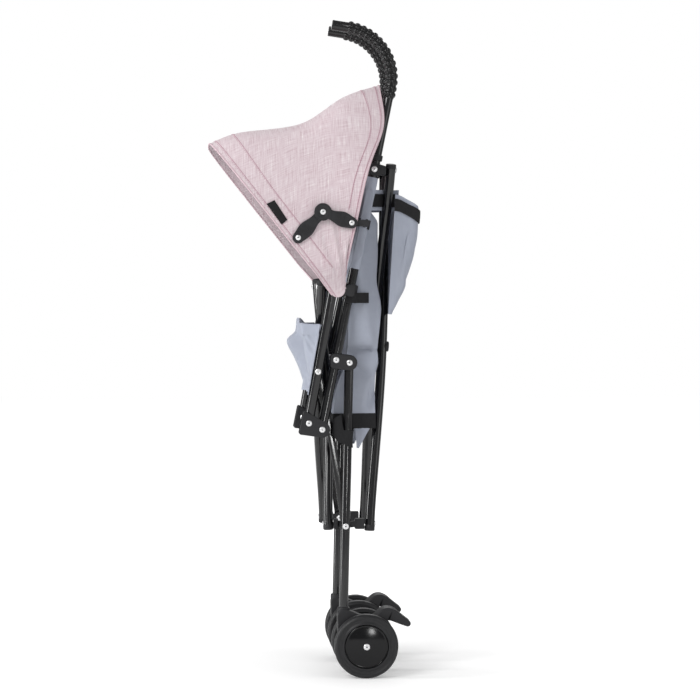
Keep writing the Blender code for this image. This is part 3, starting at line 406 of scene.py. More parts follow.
for name, side in SIDES:
    y = side * FRONT_Y
    low = plus(FRONT_PIVOT, FRONT, -7.4)
    line = [low, plus(low, FRONT, 0.6), plus(low, FRONT, 2.0), plus(low, FRONT, 5.0),
            plus(FRONT_PIVOT, FRONT, FRONT_HIGH - 26)]
    piece(name + "_front_leg_tube", swept([at(p, y) for p in line], [4.4, 6.0, 7.3, TUBE, TUBE]), enamel,
          name + "_front_leg", [name + "_front_leg"])
    along_socket = [(-33, 9.2), (-32.6, 10.2), (-31, 11.4), (-28, 12.5), (-1.0, 12.5), (-0.3, 12.2),
                    (0, 11.4)]
    piece(name + "_castor_socket",
          swept([front_at(FRONT_HIGH + s, y) for s, r in along_socket], [r for s, r in along_socket]),
          moulded, name + "_front_leg",
          cut=[rod(front_at(FRONT_HIGH - 24, y), front_at(FRONT_HIGH + 8, y), 5.3)])

# Rear braces and front stays
# Two pairs of enamelled tubes that cross behind the seat and in front of the rear legs. Each tube
# bows round the other at a moulded hub cap, turns on a pin at one end and has a plastic end plug.
PIN_Y, BOW, BOW_STEPS = 59.5, 8.3, 30
BRACE_TOP, BRACE_LOW = (45.0, 831.1), (10.5, 247.0)
STAY_LOW, STAY_TOP = (-58.5, 247.0), (STAY_RIVET[0] - 17.0, STAY_RIVET[1])
BRACE_UP, STAY_UP = unit(BRACE_LOW, BRACE_TOP), unit(STAY_LOW, STAY_TOP)
BRACE_OUT = Vector((BRACE_UP[1], 0, -BRACE_UP[0]))
STAY_OUT = Vector((STAY_UP[1], 0, -STAY_UP[0]))
crossed_studs = []

CROSSED = (("brace", BRACE_TOP, BRACE_LOW, BRACE_OUT, 1, (9.0, 12.0), 8.6),
           ("stay", STAY_LOW, STAY_TOP, STAY_OUT, -1, (9.5, 12.0), 8.0))
for kind, a_xz, b_xz, out, sign, ends, hub in CROSSED:
    for name, side in SIDES:
        rides = f"{name}_{kind}"
        a, b = at(a_xz, side * PIN_Y), at(b_xz, -side * PIN_Y)
        way = side * sign
        axis = (b - a).normalized()
        line, radii = [], []
        for over, r in ((ends[0] - 4, 7.0), (ends[0] - 5, TUBE)):
            line.append(a - axis * over * 0.001)
            radii.append(r)
        for k in range(1, BOW_STEPS):
            t = k / BOW_STEPS
            line.append(a.lerp(b, t) + out * way * BOW * 0.001 * math.sin(math.pi * t) ** 1.5)
            radii.append(TUBE)
        for over, r in ((ends[1] - 5, TUBE), (ends[1] - 4, 7.0)):
            line.append(b + axis * over * 0.001)
            radii.append(r)
        middle = a.lerp(b, 0.5) + out * way * (BOW - 1) * 0.001
        piece(f"{name}_{kind}_tube", swept(line, radii), enamel, rides, [rides])
        plugs = rod(a - axis * (ends[0] - 7) * 0.001, a - axis * ends[0] * 0.001, TUBE + 0.5, rim=1.0)
        other = rod(b + axis * (ends[1] - 9) * 0.001, b + axis * ends[1] * 0.001, TUBE + 0.5, rim=1.0)
        cap = rod(middle + out * way * 5.0 * 0.001, middle + out * way * (TUBE + 4.0) * 0.001, hub, rim=1.4)
        pin_way = -1 if kind == "brace" else 1
        pin = rod(a, a + out * pin_way * (TUBE + 7.5) * 0.001, 3.0, 16)
        piece(f"{name}_{kind}_plugs", plugs, moulded, rides, join=[other, cap, pin])
        for end in (a, b):
            crossed_studs.append((rides, end - out * pin_way * (TUBE + 0.3) * 0.001, out * -pin_way))

# Side links
# Flat enamelled steel bars with one gentle bend, which tie each front leg to the rear leg's lower
# rivet on the inner side and lock the fold.
LINK_Y, LINK_W, LINK_BEND = 70.6, 12.4, (-50.5, 372.0)


def band_round(circles, steps=48):
    """The outline round some circles (x, z, radius), as a belt lies round pulleys."""
    points = sorted((x + r * math.cos(2 * math.pi * k / steps), z + r * math.sin(2 * math.pi * k / steps))
                    for x, z, r in circles for k in range(steps))

    def half(run):
        chain = []
        for p in run:
            while len(chain) > 1 and ((chain[-1][0] - chain[-2][0]) * (p[1] - chain[-2][1])
                                      - (chain[-1][1] - chain[-2][1]) * (p[0] - chain[-2][0])) <= 1e-7:
                chain.pop()
            chain.append(p)
        return chain[:-1]

    return half(points) + half(points[::-1])


def eased(a, b, c, d, f):
    """The value a part f of the way from b to c, on a smooth curve that passes through all four."""
    bend, twist = 2 * a - 5 * b + 4 * c - d, 3 * b - a - 3 * c + d
    return 0.5 * (2 * b + (c - a) * f + bend * f * f + twist * f ** 3)


def strip(points, widths, ends=18):
    """The outline of a bar with round ends along points, its edges on a smooth curve."""
    left, right = [], []
    n = len(points)
    fine = []
    for i in range((n - 1) * 8 + 1):
        t = i / 8
        k = min(int(t), n - 2)
        f = t - k
        near = [min(max(j, 0), n - 1) for j in (k - 1, k, k + 1, k + 2)]
        fine.append([eased(*values, f) for values in zip(*((*points[j], widths[j]) for j in near))])
    m = len(fine)
    for i, (x, z, w) in enumerate(fine):
        t = unit(fine[max(i - 1, 0)], fine[min(i + 1, m - 1)])
        left.append((x - t[1] * w, z + t[0] * w))
        right.append((x + t[1] * w, z - t[0] * w))

    def cap(centre, t, r):
        return [(centre[0] + r * (-t[1] * math.cos(a) + t[0] * math.sin(a)),
                 centre[1] + r * (t[0] * math.cos(a) + t[1] * math.sin(a)))
                for a in (math.pi * k / ends for k in range(1, ends))]

    return left + cap(fine[-1], unit(fine[-2], fine[-1]), fine[-1][2]) \
        + right[::-1] + cap(fine[0], unit(fine[1], fine[0]), fine[0][2])


def plate(outline, y0, y1, rim=0.6):
    """An outline in the side plane carried from y0 to y1, its rims rounded to a radius."""
    y0, y1 = sorted((y0, y1))
    n = len(outline)
    area = sum(a[0] * b[1] - b[0] * a[1] for a, b in zip(outline, outline[1:] + outline[:1]))
    turn = 1 if area > 0 else -1
    inward = []
    for k in range(n):
        t = unit(outline[k - 1], outline[(k + 1) % n])
        inward.append((-t[1] * turn, t[0] * turn))
    rings = []
    for k in (0, 1, 2, 3):
        a = math.radians(30 * k)
        rings.append((rim * (1 - math.sin(a)), y0 + rim * (1 - math.cos(a))))
    rings += [(inset, y0 + y1 - y) for inset, y in rings[::-1]]
    verts = [at(plus(p, q, inset), y) for inset, y in rings for p, q in zip(outline, inward)]
    faces = [tuple(range(n)), tuple((len(rings) - 1) * n + k for k in range(n))]
    for a in range(0, (len(rings) - 1) * n, n):
        faces += [(a + k, a + (k + 1) % n, a + n + (k + 1) % n, a + n + k) for k in range(n)]
    return mesh_of(verts, faces)


def slab(outline, y0, y1):
    """The same without rounded rims, for cutting."""
    y0, y1 = sorted((y0, y1))
    n = len(outline)
    return mesh_of([at(p, y) for y in (y0, y1) for p in outline],
                   [tuple(range(n)), tuple(range(n, 2 * n))]
                   + [(k, (k + 1) % n, n + (k + 1) % n, n + k) for k in range(n)])


for name, side in SIDES:
    bar = strip([LEG_CROSS, LINK_BEND, LINK_TOP], [LINK_W / 2 + 0.3, LINK_W / 2 - 0.4, LINK_W / 2 + 0.3])
    piece(name + "_side_link_bar", plate(bar, side * (LINK_Y - 2.0), side * (LINK_Y + 2.0), 0.8), enamel,
          name + "_side_link", [name + "_side_link"],
          cut=[slab(band_round([(*LEG_CROSS, 3.3)], 24), side * 60, side * 80)])

# Leg brackets and front knuckles
# Grained polypropylene forks that clamp the push tubes: the bracket carries the rear leg's top
# rivet, the knuckle holds the foot of the push tube and the front leg's pivot.
CLEVIS = 12.1


def moulding(name, part, body, shape, join=(), cut=()):
    """A black moulding that stands for the solid of the same part."""
    piece(f"{name}_{part}_moulding", shape, moulded, f"{name}_{body}", [f"{name}_{part}"], join=join, cut=cut)


for name, side in SIDES:
    y, fy = side * LEG_Y, side * FRONT_Y
    px = push_x(LEG_PIVOT[1])
    outline = band_round([(px - 1.5, LEG_PIVOT[1] + 8, 7.0), (px - 2.5, LEG_PIVOT[1] - 3.5, 6.0),
                          (*LEG_PIVOT, 12.8)])
    slots = [band_round([(*LEG_PIVOT, LEG + 1.6), (*plus(LEG_PIVOT, turned_xz((0, -1), a), 45), LEG + 1.6)])
             for a in (math.degrees(math.atan2(LEG_UP[0], LEG_UP[1])), -24.0, -50.0)]
    moulding(name, "leg_bracket", "frame", plate(outline, y - CLEVIS, y + CLEVIS, 1.4),
             cut=[rod(on_push(LEG_PIVOT[1] - 45, side), on_push(LEG_PIVOT[1] + 45, side), TUBE + 0.15)]
             + [slab(o, y - LEG - 0.8, y + LEG + 0.8) for o in slots])
    k, f = KNUCKLE, FRONT_PIVOT
    outline = band_round([(f[0] - 6.5, f[1] + 17, 3.0), (f[0] - 12.5, f[1] - 15, 3.5), (k[0], k[1], 13.0),
                          (k[0] + 1.5, k[1] - 10, 3.0)])
    fan = [(*f, TUBE + 0.9)]
    ways = [[turned_xz((0, 1), -a) for a in (0, 45, 90, 135, 180)], [FRONT], [turned_xz((0, 1), -187.3)]]
    slots = [band_round(fan + [(*plus(f, way, 60), TUBE + 0.9) for way in swing]) for swing in ways]
    moulding(name, "front_knuckle", "frame", plate(outline, fy - CLEVIS, fy + CLEVIS, 1.4),
             cut=[rod(on_push(k[1] - 6.5, side), on_push(k[1] + 60, side), TUBE + 0.15)]
             + [slab(o, fy - TUBE - 0.8, fy + TUBE + 0.8) for o in slots])

# Rear wheel housings and brake pedals
# A moulded housing closes the foot of each rear leg round the steel axle. The brake pedal is a
# forked lever between the two wheels, hinged on the housing's ear.
AXLE, EAR = (0.0, 52.5), (10.0, 84.0)

for name, side in SIDES:
    y = side * LEG_Y
    outline = band_round([(leg_x(100) + 1, 98, 11.5), (leg_x(72) + 1, 72, 10.5), (*AXLE, 13.0), (*EAR, 8.0)])
    neck = [(66, 10.0), (110, 10.6), (111.4, 10.0), (112, 9.0)]
    moulding(name, "rear_housing", "rear_leg", plate(outline, y - 12, y + 12, 2.0),
             join=[swept([at((leg_x(z), z), y) for z, r in neck], [r for z, r in neck]),
                   rod(at(AXLE, y - 23), at(AXLE, y + 23), 9.0, rim=0.8)],
             cut=[rod(at((leg_x(73), 73), y), at((leg_x(150), 150), y), LEG + 0.1)])
    lever = strip([EAR, (22, 93), (34, 101), (44, 100), (58, 92), (70, 85.5)],
                  [7.5, 8.5, 10.0, 9.8, 7.2, 5.0])
    treads = [slab(strip([(x - 6.0, z - 9.5), (x + 6.0, z + 9.5)], [0.45, 0.45], 6), y - 14, y + 14)
              for x, z in ((41, 111.2), (48, 108.0), (55, 103.8), (62, 99.6))]
    piece(name + "_brake_lever", plate(lever, y - 18, y + 18, 2.2), moulded, name + "_brake_pedal",
          [name + "_brake_pedal"],
          cut=[slab(band_round([(*EAR, 9.5), (EAR[0] - 6, EAR[1] + 10, 9.0), (EAR[0] - 18, EAR[1] - 12, 12)]),
                    y - 12.6, y + 12.6)] + treads,
          join=[rod(at(EAR, y - 16), at(EAR, y + 16), 3.0, 20)])

# Rear wheels
# Four 105 mm wheels in pairs on steel axles: a matt moulded tyre with a lip and two fine ridges,
# and a polished black cap that domes out on the outer face and is dished behind.
PAIR = 35.0

# Moulded EVA tyre: matt black, faintly mottled by its skin.
tyre, tree, shader = finish("matt black tyre foam", "1F1F21", 0.42, specular=0.42)
grain(tree, shader, 1.6, (0.36, 0.52), 0.05)

# Polished ABS cap: near black and glossy, so it mirrors the white room and its lamps.
polished, tree, shader = finish("polished black cap plastic", "09090B", 0.09, specular=0.36)
grain(tree, shader, 30.0, (0.07, 0.14), 0.0)


def lathe(centre, way, profile, sides):
    """A closed profile of (mm along the axle, radius) turned round the axle; radius 0 is a pole."""
    verts, rings = [], []
    for along_axle, radius in profile:
        rings.append([len(verts)] * sides if radius == 0 else list(range(len(verts), len(verts) + sides)))
        for k in range(1 if radius == 0 else sides):
            a = 2 * math.pi * k / sides
            spoke = Vector((radius * math.cos(a), along_axle * way, radius * math.sin(a)))
            verts.append(centre + spoke * 0.001)
    faces = []
    whole = profile[0][1] > 0 and profile[-1][1] > 0
    for i in range(len(rings) if whole else len(rings) - 1):
        a, b = rings[i], rings[(i + 1) % len(rings)]
        for k in range(sides):
            j = (k + 1) % sides
            face = []
            for v in (a[k], a[j], b[j], b[k]):
                if v not in face:
                    face.append(v)
            if len(face) > 2:
                faces.append(face)
    return mesh_of(verts, faces)


def wheel(labels, stands_for, rides, centre, way, half, cap, sides):
    """A tyre from the outer half of its section, and its cap, on one axle."""
    section = half + [(-s, r) for s, r in half[::-1]]
    tread, crown = (lathe(centre, way, profile, sides) for profile in (section, cap))
    piece(labels[0], tread, tyre, rides, stands_for[:1], crease=50)
    piece(labels[1], crown, polished, rides, stands_for[1:], crease=50)


def domed(foot, rise, radii):
    """The crown of a cap: along the axle at each radius."""
    return [(foot + rise * math.cos(math.radians(90 * r / 33.0)) ** 0.8, r) for r in radii]


half_tyre = [(8.4, 35.8), (10.2, 36.4), (10.6, 37.6), (10.2, 38.8), (8.6, 40.2), (8.4, 43.0), (9.2, 45.6),
             (10.2, 46.8), (10.0, 48.2), (8.9, 49.6), (7.6, 51.4), (5.2, 52.3), (2.6, 52.5), (2.2, 52.1),
             (1.8, 52.5)]
rear_cap = [(-9.0, 4.3), (-9.0, 7.0), (-6.2, 9.5), (-5.6, 30.0), (-8.8, 33.6), (-8.8, 35.7), (8.2, 35.7),
            (9.6, 35.2), (9.9, 34.4), (9.3, 33.4)] + domed(9.3, 3.2, (32, 29, 25, 20, 15, 10, 4.3))
for name, side in SIDES:
    for place, offset in (("outer", 1), ("inner", -1)):
        wheel([f"{name}_{place}_tyre_moulding", f"{name}_{place}_wheel_cap"],
              [f"{name}_{place}_rear_tyre", f"{name}_{place}_rear_hub"], f"{name}_{place}_rear_wheel",
              at(AXLE, side * (LEG_Y + offset * PAIR)), side * offset, half_tyre, rear_cap, 96)

# Castor forks and front wheels
# Each front leg ends in a castor: a moulded fork on a steel stem, which trails a pair of 100 mm
# wheels. Folded, they lie up inside the hood.
half_front = [(7.0, 34.6), (9.0, 35.4), (9.5, 37.0), (8.8, 38.6), (9.2, 44.0), (9.6, 45.2), (8.9, 46.6),
              (6.8, 48.8), (4.4, 49.5), (2.6, 49.6), (2.2, 49.2), (1.8, 49.6)]
front_cap = [(-9.4, 4.3), (-9.4, 7.0), (-6.2, 9.5), (-5.6, 29.0), (-8.6, 32.6), (-8.6, 34.5), (8.0, 34.5),
             (9.2, 34.0), (9.2, 32.6)] + domed(9.0, 0.9, (31, 27, 22, 15, 9, 4.3))
FRONT_PAIR = 25.0

for name, side in SIDES:
    y = side * FRONT_Y
    arm = band_round([(*plus(FRONT_PIVOT, FRONT, FRONT_HIGH + 8.5), 7.4), (*FRONT_AXLE, 10.5)])
    along_head = [(0.5, 12.0), (1.4, 13.0), (10.0, 13.0), (12.2, 12.0), (13.0, 10.4)]
    moulding(name, "castor_fork", "castor", plate(arm, y - 10, y + 10, 1.8),
             join=[swept([front_at(FRONT_HIGH + s, y) for s, r in along_head], [r for s, r in along_head]),
                   rod(front_at(FRONT_HIGH - 22, y), front_at(FRONT_HIGH + 6, y), 5.0, 24),
                   rod(at(FRONT_AXLE, y - 14.5), at(FRONT_AXLE, y + 14.5), 8.0, 32)])
    for place, offset in (("outer", 1), ("inner", -1)):
        rides = f"{name}_{place}_front_wheel"
        wheel([f"{name}_{place}_front_tyre", f"{name}_{place}_front_cap"], [rides], rides,
              at(FRONT_AXLE, y + side * offset * FRONT_PAIR), side * offset, half_front, front_cap, 80)

# Brace heads, feet and stay heads
# Small polypropylene joints at both ends of the crossed tubes: forks on the push tubes above,
# twin feet on the rear legs' lower rivets below, and bosses on the front legs.
BORE = 3.3


def bore(xz, side, near, far):
    """A cutter across the stroller for a rivet's shank."""
    return rod(at(xz, side * near), at(xz, side * far), BORE, 24)


for name, side in SIDES:
    t = BRACE_PIVOT
    ty = side * push_y(t[1])
    face = BRACE_TOP[0] - TUBE - 0.9
    outline = band_round([(*t, 10.4), (face - 2, t[1] - 7.5, 2.0), (face - 2, t[1] + 3.6, 2.0)])
    sweep = [band_round([(*plus(t, turned_xz(PUSH, a), far), TUBE + 0.5) for far in (-40, 40)])
             for a in (0, 8, 16, 23)]
    pin = at(BRACE_TOP, side * PIN_Y)
    moulding(name, "brace_head", "brace_head", plate(outline, ty - CLEVIS, ty + CLEVIS, 1.2),
             cut=[slab(o, ty - TUBE - 0.8, ty + TUBE + 0.8) for o in sweep]
             + [rod(pin - BRACE_OUT * 0.021, pin, 3.4, 24)])
    for part, sign, near, far, ring in (
            ("brace_foot", 1, 17.0, BRACE_LOW[0] - TUBE - 1.5 - LEG_CROSS[0], (PIN_Y + 1.5, PIN_Y + 8.5)),
            ("stay_foot", -1, 11.0, LEG_CROSS[0] - STAY_LOW[0] - TUBE - 1.1, (PIN_Y - 7.5, PIN_Y + 0.9))):
        x, z = LEG_CROSS[0], LEG_CROSS[1] + 1.9
        corners = [(x + sign * d, z + h, 1.5) for d in (near + 1.5, far - 1.5) for h in (-7, 7)]
        cut = [bore(LEG_CROSS, side, 40, 90)]
        if part == "stay_foot":
            pin = at(STAY_LOW, side * PIN_Y)
            cut.append(rod(pin, pin + STAY_OUT * 0.018, BORE, 24))
        y0, y1 = side * ring[0], side * ring[1]
        moulding(name, part, part, plate(band_round([(*LEG_CROSS, 9.0)]), y0, y1, 0.7),
                 join=[plate(band_round([(*LEG_CROSS, 5.0), (x + sign * (near + 1), z, 5.0)]), y0, y1, 0.7),
                       plate(band_round(corners, 24), side * (PIN_Y - 7.5), side * (PIN_Y + 8.5), 0.9)],
                 cut=cut)
    s, flat = STAY_RIVET, STAY_TOP[0] + TUBE + 1.5
    corners = [(flat + 1.5, s[1] + h, 1.5) for h in (-7, 7)] + [(s[0] - 2, s[1] + h, 1.5) for h in (-5, 5)]
    low = side * (PIN_Y - 7)
    moulding(name, "stay_head", "stay_head", plate(band_round([(*s, 6.6)]), low, side * (FRONT_Y - 8.5), 0.7),
             join=[plate(band_round(corners, 24), low, side * (PIN_Y + 7.5), 0.7)],
             cut=[bore(s, side, 40, 90)])

# Hood
# One sheet of lined melange cloth over wire bows. It is cut in panels, folded over and
# double-stitched along both open edges, with a seam beside each, and gathers at its foot.
HOOD_W = 134.0
HOOD_FOOT, HOOD_REAR = HOOD_W - 30, HOOD_W - 54
HOOD_PIVOT, HOOD_LOBE = (-46.0, 634.0), 13.0
HOOD_COLUMNS, HOOD_BOWS = 64, 80
ROOF = ((-253.5, 873.5), (-206.0, 892.5), (-104.8, 908.5), (-33.8, 953.0), (23.0, 972.5))
ARM_HEM, ARM_ELBOW, ARM_CLIP = (-111.7, 717.2), (-71.9, 758.7), (-25.3, 741.3)


def smooth(t):
    t = min(1.0, max(0.0, t))
    return t * t * (3 - 2 * t)


def along(points, t):
    """A point at t from 0 to 1 on the smooth curve through points."""
    n = len(points) - 1
    i = min(int(t * n), n - 1)
    f = t * n - i
    p0, p1, p2, p3 = points[max(i - 1, 0)], points[i], points[i + 1], points[min(i + 2, n)]
    return tuple(eased(a, b, c, d, f) for a, b, c, d in zip(p0, p1, p2, p3))


def hood_base(u, phi):
    """The taut hood at bow u (0 front, 1 rear) and angle phi (0 foot, 90 middle), and its rise, 0 to 1."""
    top = along(ROOF, u)
    turn = math.radians(225 - 200 * u)
    low = (HOOD_PIVOT[0] + HOOD_LOBE * math.sin(turn), HOOD_PIVOT[1] + HOOD_LOBE * math.cos(turn))
    g = max(math.sin(math.radians(phi)), 0.0) ** 0.38
    across = max(math.cos(math.radians(phi)), 0.0) ** 0.38 if phi < 90 else 0.0
    width = HOOD_FOOT + (HOOD_W - HOOD_FOOT) * smooth(g / 0.2)
    width -= (HOOD_W - HOOD_REAR) * u ** 3 * smooth((g - 0.45) / 0.5)
    bulge = 18.0 * math.exp(-((g - 0.79) / 0.17) ** 2) + 5.0 * math.sin(math.pi * g)
    x = low[0] + (top[0] - low[0]) * g + smooth((u - 0.5) / 0.5) * bulge
    return at((x, low[1] + (top[1] - low[1]) * g), -width * across), g


# Angles that lie equally far apart along the middle bow
raw = [90 * (k / 900) ** 2.6 for k in range(901)]
lengths = [0.0]
for a, b in zip(raw, raw[1:]):
    lengths.append(lengths[-1] + (hood_base(0.5, b)[0] - hood_base(0.5, a)[0]).length)
angles, k = [], 0
for i in range(HOOD_COLUMNS + 1):
    while k < 899 and lengths[k + 1] < lengths[-1] * i / HOOD_COLUMNS:
        k += 1
    f = (lengths[-1] * i / HOOD_COLUMNS - lengths[k]) / (lengths[k + 1] - lengths[k])
    angles.append(raw[k] + (raw[k + 1] - raw[k]) * min(max(f, 0.0), 1.0))


def slack(u, g, s, side):
    """How far the cloth falls in, in mm: folds that fan up from the foot, sag between the bows."""
    fan = smooth((g - 0.07) / 0.1) * smooth((0.5 - g) / 0.2)
    fan *= smooth((u - 0.36) / 0.12) * smooth((0.93 - u) / 0.1)
    folds = 4.6 * fan * (0.5 + 0.5 * math.cos(2 * math.pi * (u - 0.6) / 0.2 + 0.8 * side)) ** 1.5
    folds += 1.3 * fan * (0.5 + 0.5 * math.cos(2 * math.pi * (u - 0.5) / 0.08 + 2 * g))
    across = smooth((u - 0.4) / 0.15) * smooth((0.9 - u) / 0.15) * math.exp(-((g - 0.66) / 0.09) ** 2)
    folds += 0.9 * across * (0.5 + 0.5 * math.sin(g * 95 + 3.0 * u + side))
    roof = smooth((g - 0.55) / 0.4)
    sag = 1.4 * roof * math.sin(math.pi * u) ** 2
    cloth = 0.5 + 0.5 * noise.noise(Vector((u * 7.0, s * 9.0 + side * 3.1, side * 2.0)))
    creases = 0.9 * cloth + 0.35 * (0.5 + 0.5 * noise.noise(Vector((u * 19.0, s * 23.0, 4.0 + side))))
    edge = smooth(min(u, 1 - u) / 0.06)
    tight = smooth((abs(g - 0.32) - 0.05) / 0.09) if u > 0.62 else 1.0
    return ((folds + creases) * tight + sag) * edge + 0.3 * (1 - edge)


def hood_at(u, j, lift=0.0):
    """The finished cloth at bow u and column j, from the left foot over the roof to the right foot."""
    side = -1 if j <= HOOD_COLUMNS else 1

    def base(uu, jj):
        jj = min(max(jj, 0.0), 2.0 * HOOD_COLUMNS)
        far = jj > HOOD_COLUMNS
        c = 2 * HOOD_COLUMNS - jj if far else jj
        i = min(int(c), HOOD_COLUMNS - 1)
        phi = angles[i] + (angles[i + 1] - angles[i]) * (c - i)
        p, g = hood_base(min(max(uu, 0.0), 1.0), phi)
        return (Vector((p.x, -p.y, p.z)) if far else p), g

    p, g = base(u, j)
    du = base(u + 0.004, j)[0] - base(u - 0.004, j)[0]
    dj = base(u, j + 0.3)[0] - base(u, j - 0.3)[0]
    inward = du.cross(dj).normalized()
    if inward.dot(Vector((-0.02, 0, 0.78)) - p) < 0:
        inward = -inward
    s = min(j, 2 * HOOD_COLUMNS - j) / HOOD_COLUMNS
    return p + inward * (slack(u, g, s, side) - lift) * 0.001, inward


def cloth_shell(name, rows, inner, flat, skins, stands_for=(),
                place=None):
    """A closed thin cloth from its outer grid and its inner grid, with a UV map in metres."""
    m, n = len(rows), len(rows[0])
    verts = [p for row in rows for p in row] + [p for row in inner for p in row]
    k = m * n
    faces, uvs, kinds = [], [], []
    if place is None:
        place = [(j / (n - 1) * flat[0], i / (m - 1) * flat[1]) for i in range(m) for j in range(n)]
    place = place * 2
    for i in range(m - 1):
        for j in range(n - 1):
            a, b, c, d = i * n + j, i * n + j + 1, (i + 1) * n + j + 1, (i + 1) * n + j
            faces += [(a, b, c, d), (k + d, k + c, k + b, k + a)]
            kinds += [0, len(skins) - 1]
    for i in range(m - 1):
        for j in (0, n - 1):
            faces.append((i * n + j, (i + 1) * n + j, k + (i + 1) * n + j, k + i * n + j))
            kinds.append(0)
    for j in range(n - 1):
        for i in (0, m - 1):
            faces.append((i * n + j, i * n + j + 1, k + i * n + j + 1, k + i * n + j))
            kinds.append(0)
    bm = bmesh.new()
    made = [bm.verts.new(v) for v in verts]
    layer = bm.loops.layers.uv.new("cloth")
    for face, kind in zip(faces, kinds):
        new = bm.faces.new([made[i] for i in face])
        new.material_index = kind
        for loop, i in zip(new.loops, face):
            loop[layer].uv = place[i]
    bmesh.ops.recalc_face_normals(bm, faces=bm.faces)
    area = sum(f.calc_area() for f in bm.faces) / 2
    obj = piece(name, bm, skins, None, stands_for, crease=60)
    blended(obj)


def blended(obj):
    """The cloth with its placing baked into its mesh."""
    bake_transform(obj)


def woven(tree, shader, pitch, lift):
    """A plain weave of threads pitch mm apart on the UV map in metres, lifted by lift mm.

    The bands of a wave texture lie 2 pi / 20 apart at scale 1.
    """
    where = add(tree, "ShaderNodeUVMap", {"uv_map": "cloth"}).outputs[0]
    placed = add(tree, "ShaderNodeMapping", {}, {"Vector": where}).outputs[0]
    scale = 1000 / pitch / 20 * 3.1416 * 2
    over, under = (add(tree, "ShaderNodeTexWave", {"bands_direction": axis},
                       {"Vector": placed, "Scale": scale, "Distortion": 0.4}) for axis in "XY")
    both = add(tree, "ShaderNodeMath", {"operation": "MULTIPLY"},
               {0: over.outputs["Fac"], 1: under.outputs["Fac"]})
    bump = add(tree, "ShaderNodeBump", {},
               {"Height": both.outputs[0], "Distance": lift * 0.001, "Strength": 0.8})
    tree.links.new(bump.outputs[0], shader.inputs["Normal"])
    return placed


# Melange polyester: pale pink yarn spun from darker and lighter fibre, so short streaks run along
# both threads. The 0.4 mm weave is drawn 1.1 mm coarse so that it shows.
pink, tree, shader = finish("pale pink melange cloth", "DDCBD0", 0.88, specular=0.2)
placed = woven(tree, shader, 1.1, 0.12)
shader.inputs["Sheen Weight"].default_value = 0.15
shader.inputs["Sheen Roughness"].default_value = 0.5
streaks = []
for stretch in ((900, 34, 1), (34, 900, 1)):
    run = add(tree, "ShaderNodeMapping", {}, {"Vector": placed, "Scale": stretch}).outputs[0]
    streaks.append(add(tree, "ShaderNodeTexNoise", {}, {"Vector": run, "Scale": 1.0, "Detail": 2.5,
                                                        "Roughness": 0.6}).outputs[0])
cloudy = add(tree, "ShaderNodeTexNoise", {}, {"Vector": placed, "Scale": 22.0, "Detail": 2.0})
mixed = add(tree, "ShaderNodeMix", {"data_type": "FLOAT"}, {0: 0.42, 2: streaks[0], 3: streaks[1]})
tone = add(tree, "ShaderNodeValToRGB", {}, {"Fac": mixed.outputs[0]})
YARNS = ((0.34, "B89DA5"), (0.46, "D0BFC4"), (0.55, "D8CBCF"), (0.67, "ECE6E6"))
for stop, (spot, colour) in enumerate(YARNS):
    element = tone.color_ramp.elements[stop] if stop < 2 else tone.color_ramp.elements.new(spot)
    element.position, element.color = spot, linear(colour)
patchy = add(tree, "ShaderNodeMapRange", {}, {"Value": cloudy.outputs[0], "From Min": 0.3, "From Max": 0.7,
                                              "To Min": 0.0, "To Max": 0.16})
tinted = add(tree, "ShaderNodeMix", {"data_type": "RGBA"},
             {0: patchy.outputs[0], 6: tone.outputs[0], 7: linear("C6ABB4")})
tree.links.new(tinted.outputs[2], shader.inputs["Base Color"])

# The lining: plain taupe polyester, a little smoother and darker than the outside.
lining, tree, shader = finish("taupe hood lining", "B7A8AB", 0.8, specular=0.2)
woven(tree, shader, 1.1, 0.08)

HOOD_WALL = 0.0014
hood_outer, hood_inner = [], []
for i in range(HOOD_BOWS + 1):
    outer_row, inner_row = [], []
    for j in range(2 * HOOD_COLUMNS + 1):
        p, inward = hood_at(i / HOOD_BOWS, float(j))
        outer_row.append(p)
        inner_row.append(p + inward * HOOD_WALL)
    hood_outer.append(outer_row)
    hood_inner.append(inner_row)
# The grain of the cloth runs straight: along the stroller, and up the sides and over the roof
straight = []
for row in hood_outer:
    run = 0.0
    for j, p in enumerate(row):
        run += (p - row[j - 1]).length if j else 0.0
        straight.append((p.x, run))
cloth_shell("hood_cloth", hood_outer, hood_inner, (0.80, 0.36), [pink, lining],
            ["canopy"],
            straight)

# The folded hems: a fine rolled edge at both openings, and raised thread along the seams
seam_thread, tree, shader = finish("dusky pink seam thread", "B58E9B", 0.8, specular=0.2)
grain(tree, shader, 0.8, (0.7, 0.9), 0.05)
hem_cloth, tree, shader = finish("pale pink hem roll", "CDB6BD", 0.88, specular=0.2)
grain(tree, shader, 1.2, (0.8, 0.95), 0.15)


def sewn_line(label, line, radius, sides, skin):
    """A thin roll along a line on the hood."""
    blended(piece("hood_" + label, swept(line, [radius] * len(line), sides), skin, None))


for label, u in (("front_hem", 0.0), ("rear_hem", 1.0)):
    line = [hood_at(u, j * 0.5, -0.5)[0] for j in range(4 * HOOD_COLUMNS + 1)]
    sewn_line(label, line, 1.5, 12, hem_cloth)
bow_lengths = []
for j in range(2 * HOOD_COLUMNS + 1):
    run = [0.0]
    for i in range(HOOD_BOWS):
        run.append(run[-1] + (hood_outer[i + 1][j] - hood_outer[i][j]).length * 1000)
    bow_lengths.append(run)


